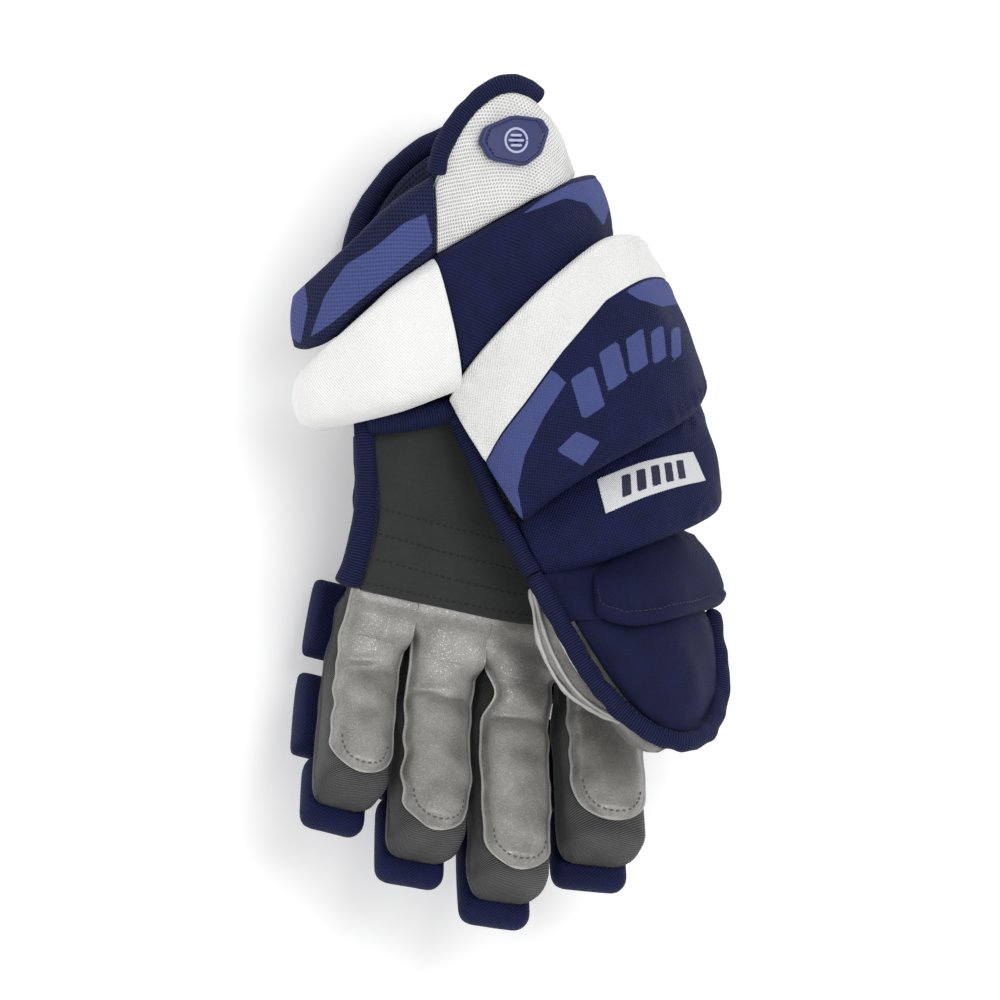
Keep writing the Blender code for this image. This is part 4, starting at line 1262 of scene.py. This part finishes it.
def woven_label(under):
    """A woven label with five bars, stitched down round its border, laid on the roll."""
    tree = surface_of(under)
    ray = Vector((math.sin(VIEW_ROLL), 0, -math.cos(VIEW_ROLL)))
    height = 13.0
    left, right = ((37, 9.8), (40.5, -4.2)), ((76.7, 21.5), (82.0, 9.5))
    rows = []
    for share in np.linspace(0, 1, 12):
        row = []
        (u1, v1), (u2, v2) = between(*left, share), between(*right, share)
        for across in np.linspace(0, 1, 34):
            arch = 1.6 * math.sin(math.pi * across)
            p = seen(u1 + (u2 - u1) * across, v1 + (v2 - v1) * across + arch, 100)
            place, normal, _, _ = tree.ray_cast(Vector(p * MM) - ray * 0.05, ray)
            row.append(np.array(place) / MM + np.array(normal) * 0.75)
        rows.append(row)

    def bars(s, t, points, width):
        """Five slanting bars across the middle of the label."""
        along = s * width - width / 2 + (t - 0.5) * height * 0.35 + 0 * points[..., 0]
        across = 3.9 - np.abs(t - 0.5) * height + 0 * points[..., 0]
        nearest = np.abs((along + 3.4) % 6.8 - 3.4)
        return np.minimum(np.minimum(2.1 - nearest, across), 16.0 - np.abs(along))

    label = leather_sheet("woven_label_cover", rows, 0.7, label_satin, step=0.8, rumple=0.05,
                          fields={"print": bars})
    soft(label, "hand", ["woven_label"])
    cloth(label)
    corners = [rows[0][1], rows[0][17], rows[0][-2], rows[5][-1], rows[-1][-2], rows[-1][17], rows[-1][1],
               rows[5][0], rows[0][1]]
    lines = [[a, (a + b) / 2, b] for a, b in zip(corners, corners[1:])]
    stitches("woven_label_stitches", lines, label, white_thread, "hand", pitch=1.3, long=1.0, radius=0.2)


def thumb_pads():
    """The flap over the middle of the thumb, with its hem, and the arched pad over the end."""

    def hem_groove(s, t, points, width):
        return -0.7 * np.exp(-(((np.minimum((1 - s) * width, t * 95) - 4.4) / 0.8) ** 2))

    middle = stuffed(
        "thumb_middle_pad", "thumb", "navy_fabric", 0.5,
        each(seen, (34, -25, 86), (53, -13, 88), (67, -9, 81), (77, -12, 67), (77, -13, 57)),
        each(on_thumb, (37, -44, 17), (55, -47.5, 20.5), (75, -44.5, 11.5), (91, -41, -17), (88, -37, -36)),
        3, 7, 2.4, navy_fine, (1.2, 3.2, 1.5, 3.2), outward=-1, corner=7, rumple=0.4, seed=17,
        relief=hem_groove,
    )
    hem = each(on_thumb, (36.5, -29.5, 18), (38.5, -37.5, 20), (44.5, -42.0, 22), (56, -43.2, 23),
               (74, -40.3, 14), (86, -37.5, -5))
    stitches("thumb_middle_pad_stitches", [hem], middle, navy_thread, "thumb", pitch=2.3, long=1.7,
             radius=0.3)
    soft(tip_pad(), "thumb", ["thumb_tip_pad"])


def tip_pad():
    """The pad over the end of the thumb, arched over the splint and down on its outer side."""
    wide, long = 60, 56
    # share of the way across, height over the thumb's middle
    outer = ((0.0, 1.5), (0.02, 6), (0.15, 10), (0.4, 12.5), (0.65, 10.5), (0.85, 1.5), (0.97, -13),
             (1.0, -23))
    inner = ((0.0, 1.5), (0.06, 0.8), (0.3, 1.6), (0.55, 1.6), (0.74, -3), (0.86, -14), (0.95, -24),
             (1.0, -23))
    stations = (
        # left edge, right edge, share of the rise, share of the drop
        ((23, -41), (81, -42), 0.5, 0.8),
        ((29.5, -52), (86, -54), 1.0, 1.0),
        ((40, -69), (87, -68), 1.0, 0.9),
        ((49, -81), (86, -79), 1.0, 0.7),
        ((58, -89.5), (82.5, -87.5), 0.85, 0.45),
        ((64, -95), (79, -95), 0.4, 0.2),
    )
    grids = []
    s, t = shares(wide, 1.6, 4), shares(long, 1.6, 4)
    for profile in (outer, inner):
        rows = []
        for (u1, v1), (u2, v2), rise, drop in stations:
            row = []
            for share, n in profile:
                n *= rise if n > 0 else drop
                row.append(on_thumb(u1 + (u2 - u1) * share, v1 + (v2 - v1) * share, n))
            rows.append(smooth_line(row, s))
        grids.append(np.stack([smooth_line([row[k] for row in rows], t) for k in range(len(s))], axis=1))
    top, under = grids
    normal = normals_of(top)
    if normal[len(top) // 2, len(s) // 3, 2] < 0:
        normal = -normal
    to_side, to_end = np.minimum(s, 1 - s)[None, :] * wide, np.minimum(t, 1 - t)[:, None] * long
    inside = np.minimum(to_side, (1 - t)[:, None] * long)
    height = 0.5 * waves(top, 20, 61) * rounded(inside, 6) - 0.6 * np.exp(-(((inside - 5) / 1.2) ** 2))
    top = top + normal * height[..., None]
    full = (rounded(to_side, 2) * rounded(to_end, 2))[..., None]
    middle = (top + under) / 2
    top, under = middle + (top - middle) * full, middle + (under - middle) * full
    return envelope("thumb_tip_pad_cover", top, under, navy_fine)


def thumb_root_cloth():
    """The navy cloth between the edge tape and the flap, where the thumb leaves the hand."""
    rows = [
        each(on_thumb, (12.5, -29.8, 0.5), (25, -27, 2.5), (42, -22, 1.5)),
        each(on_thumb, (18.5, -38.5, 2.5), (29, -37, 5.5), (44, -34, 5)),
        each(on_thumb, (24, -49, 4.5), (35, -48, 9.5), (48, -47, 11)),
    ]
    root = leather_sheet("thumb_root_cloth", rows, 1.8, navy_fine, rumple=0.4, seed=19)
    soft(root, "thumb")
    cloth(root)


def thumb_pouch():
    """The silver leather round the thumb, and its flap."""
    root = seen(*THUMB_ROOT)
    lean = math.radians(THUMB_LEAN)
    ahead = np.array((-math.sin(lean) * math.cos(THUMB_RISE), -math.cos(lean) * math.cos(THUMB_RISE),
                      math.sin(THUMB_RISE)))
    across = np.array((-math.cos(lean), math.sin(lean), 0.0))
    palm_side = np.cross(across, ahead)
    # distance from the root, reach to the right, reach to the left, height of the lower side
    sections = ((-3, 12, 10, -17), (2, 18, 13, -22), (14, 19, 15, -23), (45, 18, 15, -22.5),
                (62, 16, 14.5, -21), (74, 12, 12, -18), (81, 7, 7, -13), (83.5, 3, 3, -9))
    high = -2.8
    d = np.concatenate([np.arange(-3, 70, 1.8), np.linspace(70, 83.5, 14)])
    right, left, low = (np.interp(d, [s[0] for s in sections], [s[k] for s in sections]) for k in (1, 2, 3))
    angle = np.linspace(0, 2 * math.pi, 64, endpoint=False)
    a = (left - right)[:, None] / 2 + squared_off(np.cos(angle), 0.75) * (left + right)[:, None] / 2
    n = (low + high)[:, None] / 2 + squared_off(np.sin(angle), 0.75) * (high - low)[:, None] / 2
    rings = root + ahead * d[:, None, None] + across * a[..., None] + palm_side * n[..., None]
    folds = 0.5 * waves(rings * (1, 0.5, 1), 14, 71) + 0.2 * waves(rings, 6, 72)
    rings = rings + away_from_middle(rings) * folds[..., None]
    obj = tube("thumb_pouch_cover", rings, silver, {"edge": np.zeros(rings.shape[:2])})
    soft(obj, "thumb", ["thumb_pouch"])
    thumb_flap()


def thumb_flap():
    """The leather's sewn flap beside the edge tape, with two raised seams and a sliver of white lining."""
    outer = [(9.5, -35), (10.5, -45), (12.5, -57), (17.5, -69.5), (25, -79.5), (36, -86.5), (49, -92),
             (58, -98)]
    inner = [(13.5, -35), (18.5, -44), (25.5, -56), (32.5, -68), (40, -78), (48.5, -86), (56, -92),
             (62, -96)]

    def line_at(share, n):
        return [on_thumb(*between(p, q, share), n) for p, q in zip(outer, inner)]

    rows = [line_at(*place) for place in ((0.0, -9.4), (0.12, -6.9), (0.45, -6.2), (1.0, -4.3))]
    flap = leather_sheet("thumb_flap", rows, 1.6, silver, rumple=0.45, seed=73, fields=NO_EDGE)
    soft(flap, "thumb")
    cloth(flap)
    for k, place in enumerate(((0.03, -7.8), (0.3, -5.9))):
        welt = tape(f"thumb_flap_seam_{k + 1}", line_at(*place), 1.0, silver_edge, rumple=0.3, sides=10,
                    step=0.9)
        soft(welt, "thumb")
    rows = []
    for inset, n in ((4.4, -4.9), (0.6, -4.0)):
        row = []
        for (u, v), size in zip(inner[1:6], (0.5, 1.1, 1.2, 1.0, 0.4)):
            row.append(on_thumb(u - inset * size, v, n))
        rows.append(row)
    sliver = leather_sheet("thumb_flap_lining", rows, 0.9, white_weave, step=0.9, rumple=0.15, seed=74)
    soft(sliver, "thumb")
    cloth(sliver)


def thumb_tapes():
    """The edge tape beside the thumb: one length sewn to the hand, and one round the moving thumb."""
    line = each(seen, (-22, 37, 70), (-13.5, 19, 74), (-4, -3, 80), (10.6, -29.4, 88.5))
    edge_tape("thumb_binding_upper", "hand", line, 3.9, rumple=0.2, seed=41, ends=(2, 0.6))
    line = each(on_thumb, (10.9, -29.9, 0.4), (15.5, -38.5, 2.5), (25, -55, 4.2), (35, -71.5, 4.2),
                (45.5, -84, 4.2), (56, -92.5, 4.2), (66, -97.5, 3.5), (75, -98.5, 0), (82.5, -94, -8),
                (86.8, -85, -17), (88.3, -72, -23), (87, -58, -26), (85, -44, -28))
    lower = edge_tape("thumb_binding", "thumb", line, 4.2, rumple=0.3, seed=42, ends=(0.6, 4),
                      size=((0, 0.5, 0.75, 1), (0.93, 1.0, 1.12, 0.9)))
    inner_edge = each(on_thumb, (28, -53.5, 7), (38, -70, 7), (48, -81.8, 7), (57.5, -89.6, 7),
                      (66.5, -94, 6.5), (74, -95, 3.5), (80, -91, -4), (83.5, -84, -13))
    stitches("thumb_binding_stitches", [inner_edge], lower, black_thread, "thumb", pitch=2.4, long=1.6,
             radius=0.28)


# ---- Putting it together ----------------------------------------------------------------------------------

def hard_parts():
    """The plates and the liner keep their CAD shapes."""
    looks = {
        "backhand_plate": plastic, "cuff_plate": plastic, "thumb_splint": plastic,
        "backhand_liner": liner_cloth,
    }
    for name, look in looks.items():
        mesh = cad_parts[name].data
        mesh.materials.clear()
        mesh.materials.append(look)


def camera_and_light():
    """The rolled view from above, three lamps and a bright surround."""
    target = seen(-3.3, 1.5, 60.0) * MM
    back = Vector((-math.sin(VIEW_ROLL), 0.0, math.cos(VIEW_ROLL)))
    right = Vector((math.cos(VIEW_ROLL), 0.0, math.sin(VIEW_ROLL)))
    up = Vector((0.0, 1.0, 0.0))
    data = bpy.data.cameras.new("camera")
    data.lens = 400
    data.sensor_width = 36
    distance = PICTURE_WIDTH * data.lens / data.sensor_width
    data.clip_end = 50
    camera = bpy.data.objects.new("camera", data)
    rotation = Matrix((right, up, back)).transposed().to_4x4()
    camera.matrix_world = Matrix.Translation(Vector(target) + back * distance) @ rotation
    bpy.context.scene.collection.objects.link(camera)
    bpy.context.scene.camera = camera
    lamps = {
        # place, size, watts
        "key": ((0.3, 0.6, 1.8), 1.0, 12.5),
        "fill": ((-1.3, -0.2, 1.2), 1.4, 2.5),
        "front": ((0.2, -1.4, 1.0), 1.2, 2.5),
    }
    for name, (place, size, watts) in lamps.items():
        lamp = bpy.data.lights.new(name, "AREA")
        lamp.size = size
        lamp.energy = watts
        obj = bpy.data.objects.new(name, lamp)
        obj.location = place
        obj.rotation_euler = (-Vector(place)).to_track_quat("-Z", "Y").to_euler()
        bpy.context.scene.collection.objects.link(obj)
    world = bpy.data.worlds.new("studio")
    world.use_nodes = True
    surround = world.node_tree.nodes["Background"].inputs
    surround["Color"].default_value = (1.0, 1.0, 1.0, 1.0)
    surround["Strength"].default_value = 0.74
    bpy.context.scene.world = world
    bpy.context.scene.view_settings.view_transform = "Standard"


def floor():
    """The white floor, just under the glove."""
    half = 6.0
    corners = [(-half, -half, 0), (half, -half, 0), (half, half, 0), (-half, half, 0)]
    mesh = bpy.data.meshes.new("floor")
    mesh.from_pydata(corners, [], [(0, 1, 2, 3)])
    mesh.materials.append(plaster_white)
    obj = bpy.data.objects.new("floor", mesh)
    obj.location.z = CAD_BOX[0][2] - 0.0006
    bpy.context.scene.collection.objects.link(obj)


camera_and_light()
floor()
hard_parts()
for finger_name in FINGERS:
    one = Finger(finger_name)
    finger_pads(one)
    finger_sleeve(one)
    finger_leather(one)
backhand()
side_walls()
palm()
thumb_side()
wrist()
cuff_panels()
rear_cuff()
cuff_tapes()
wrist_lining()
badge()
side_roll()
woven_label(label_roll())
thumb_pads()
thumb_root_cloth()
thumb_pouch()
thumb_tapes()
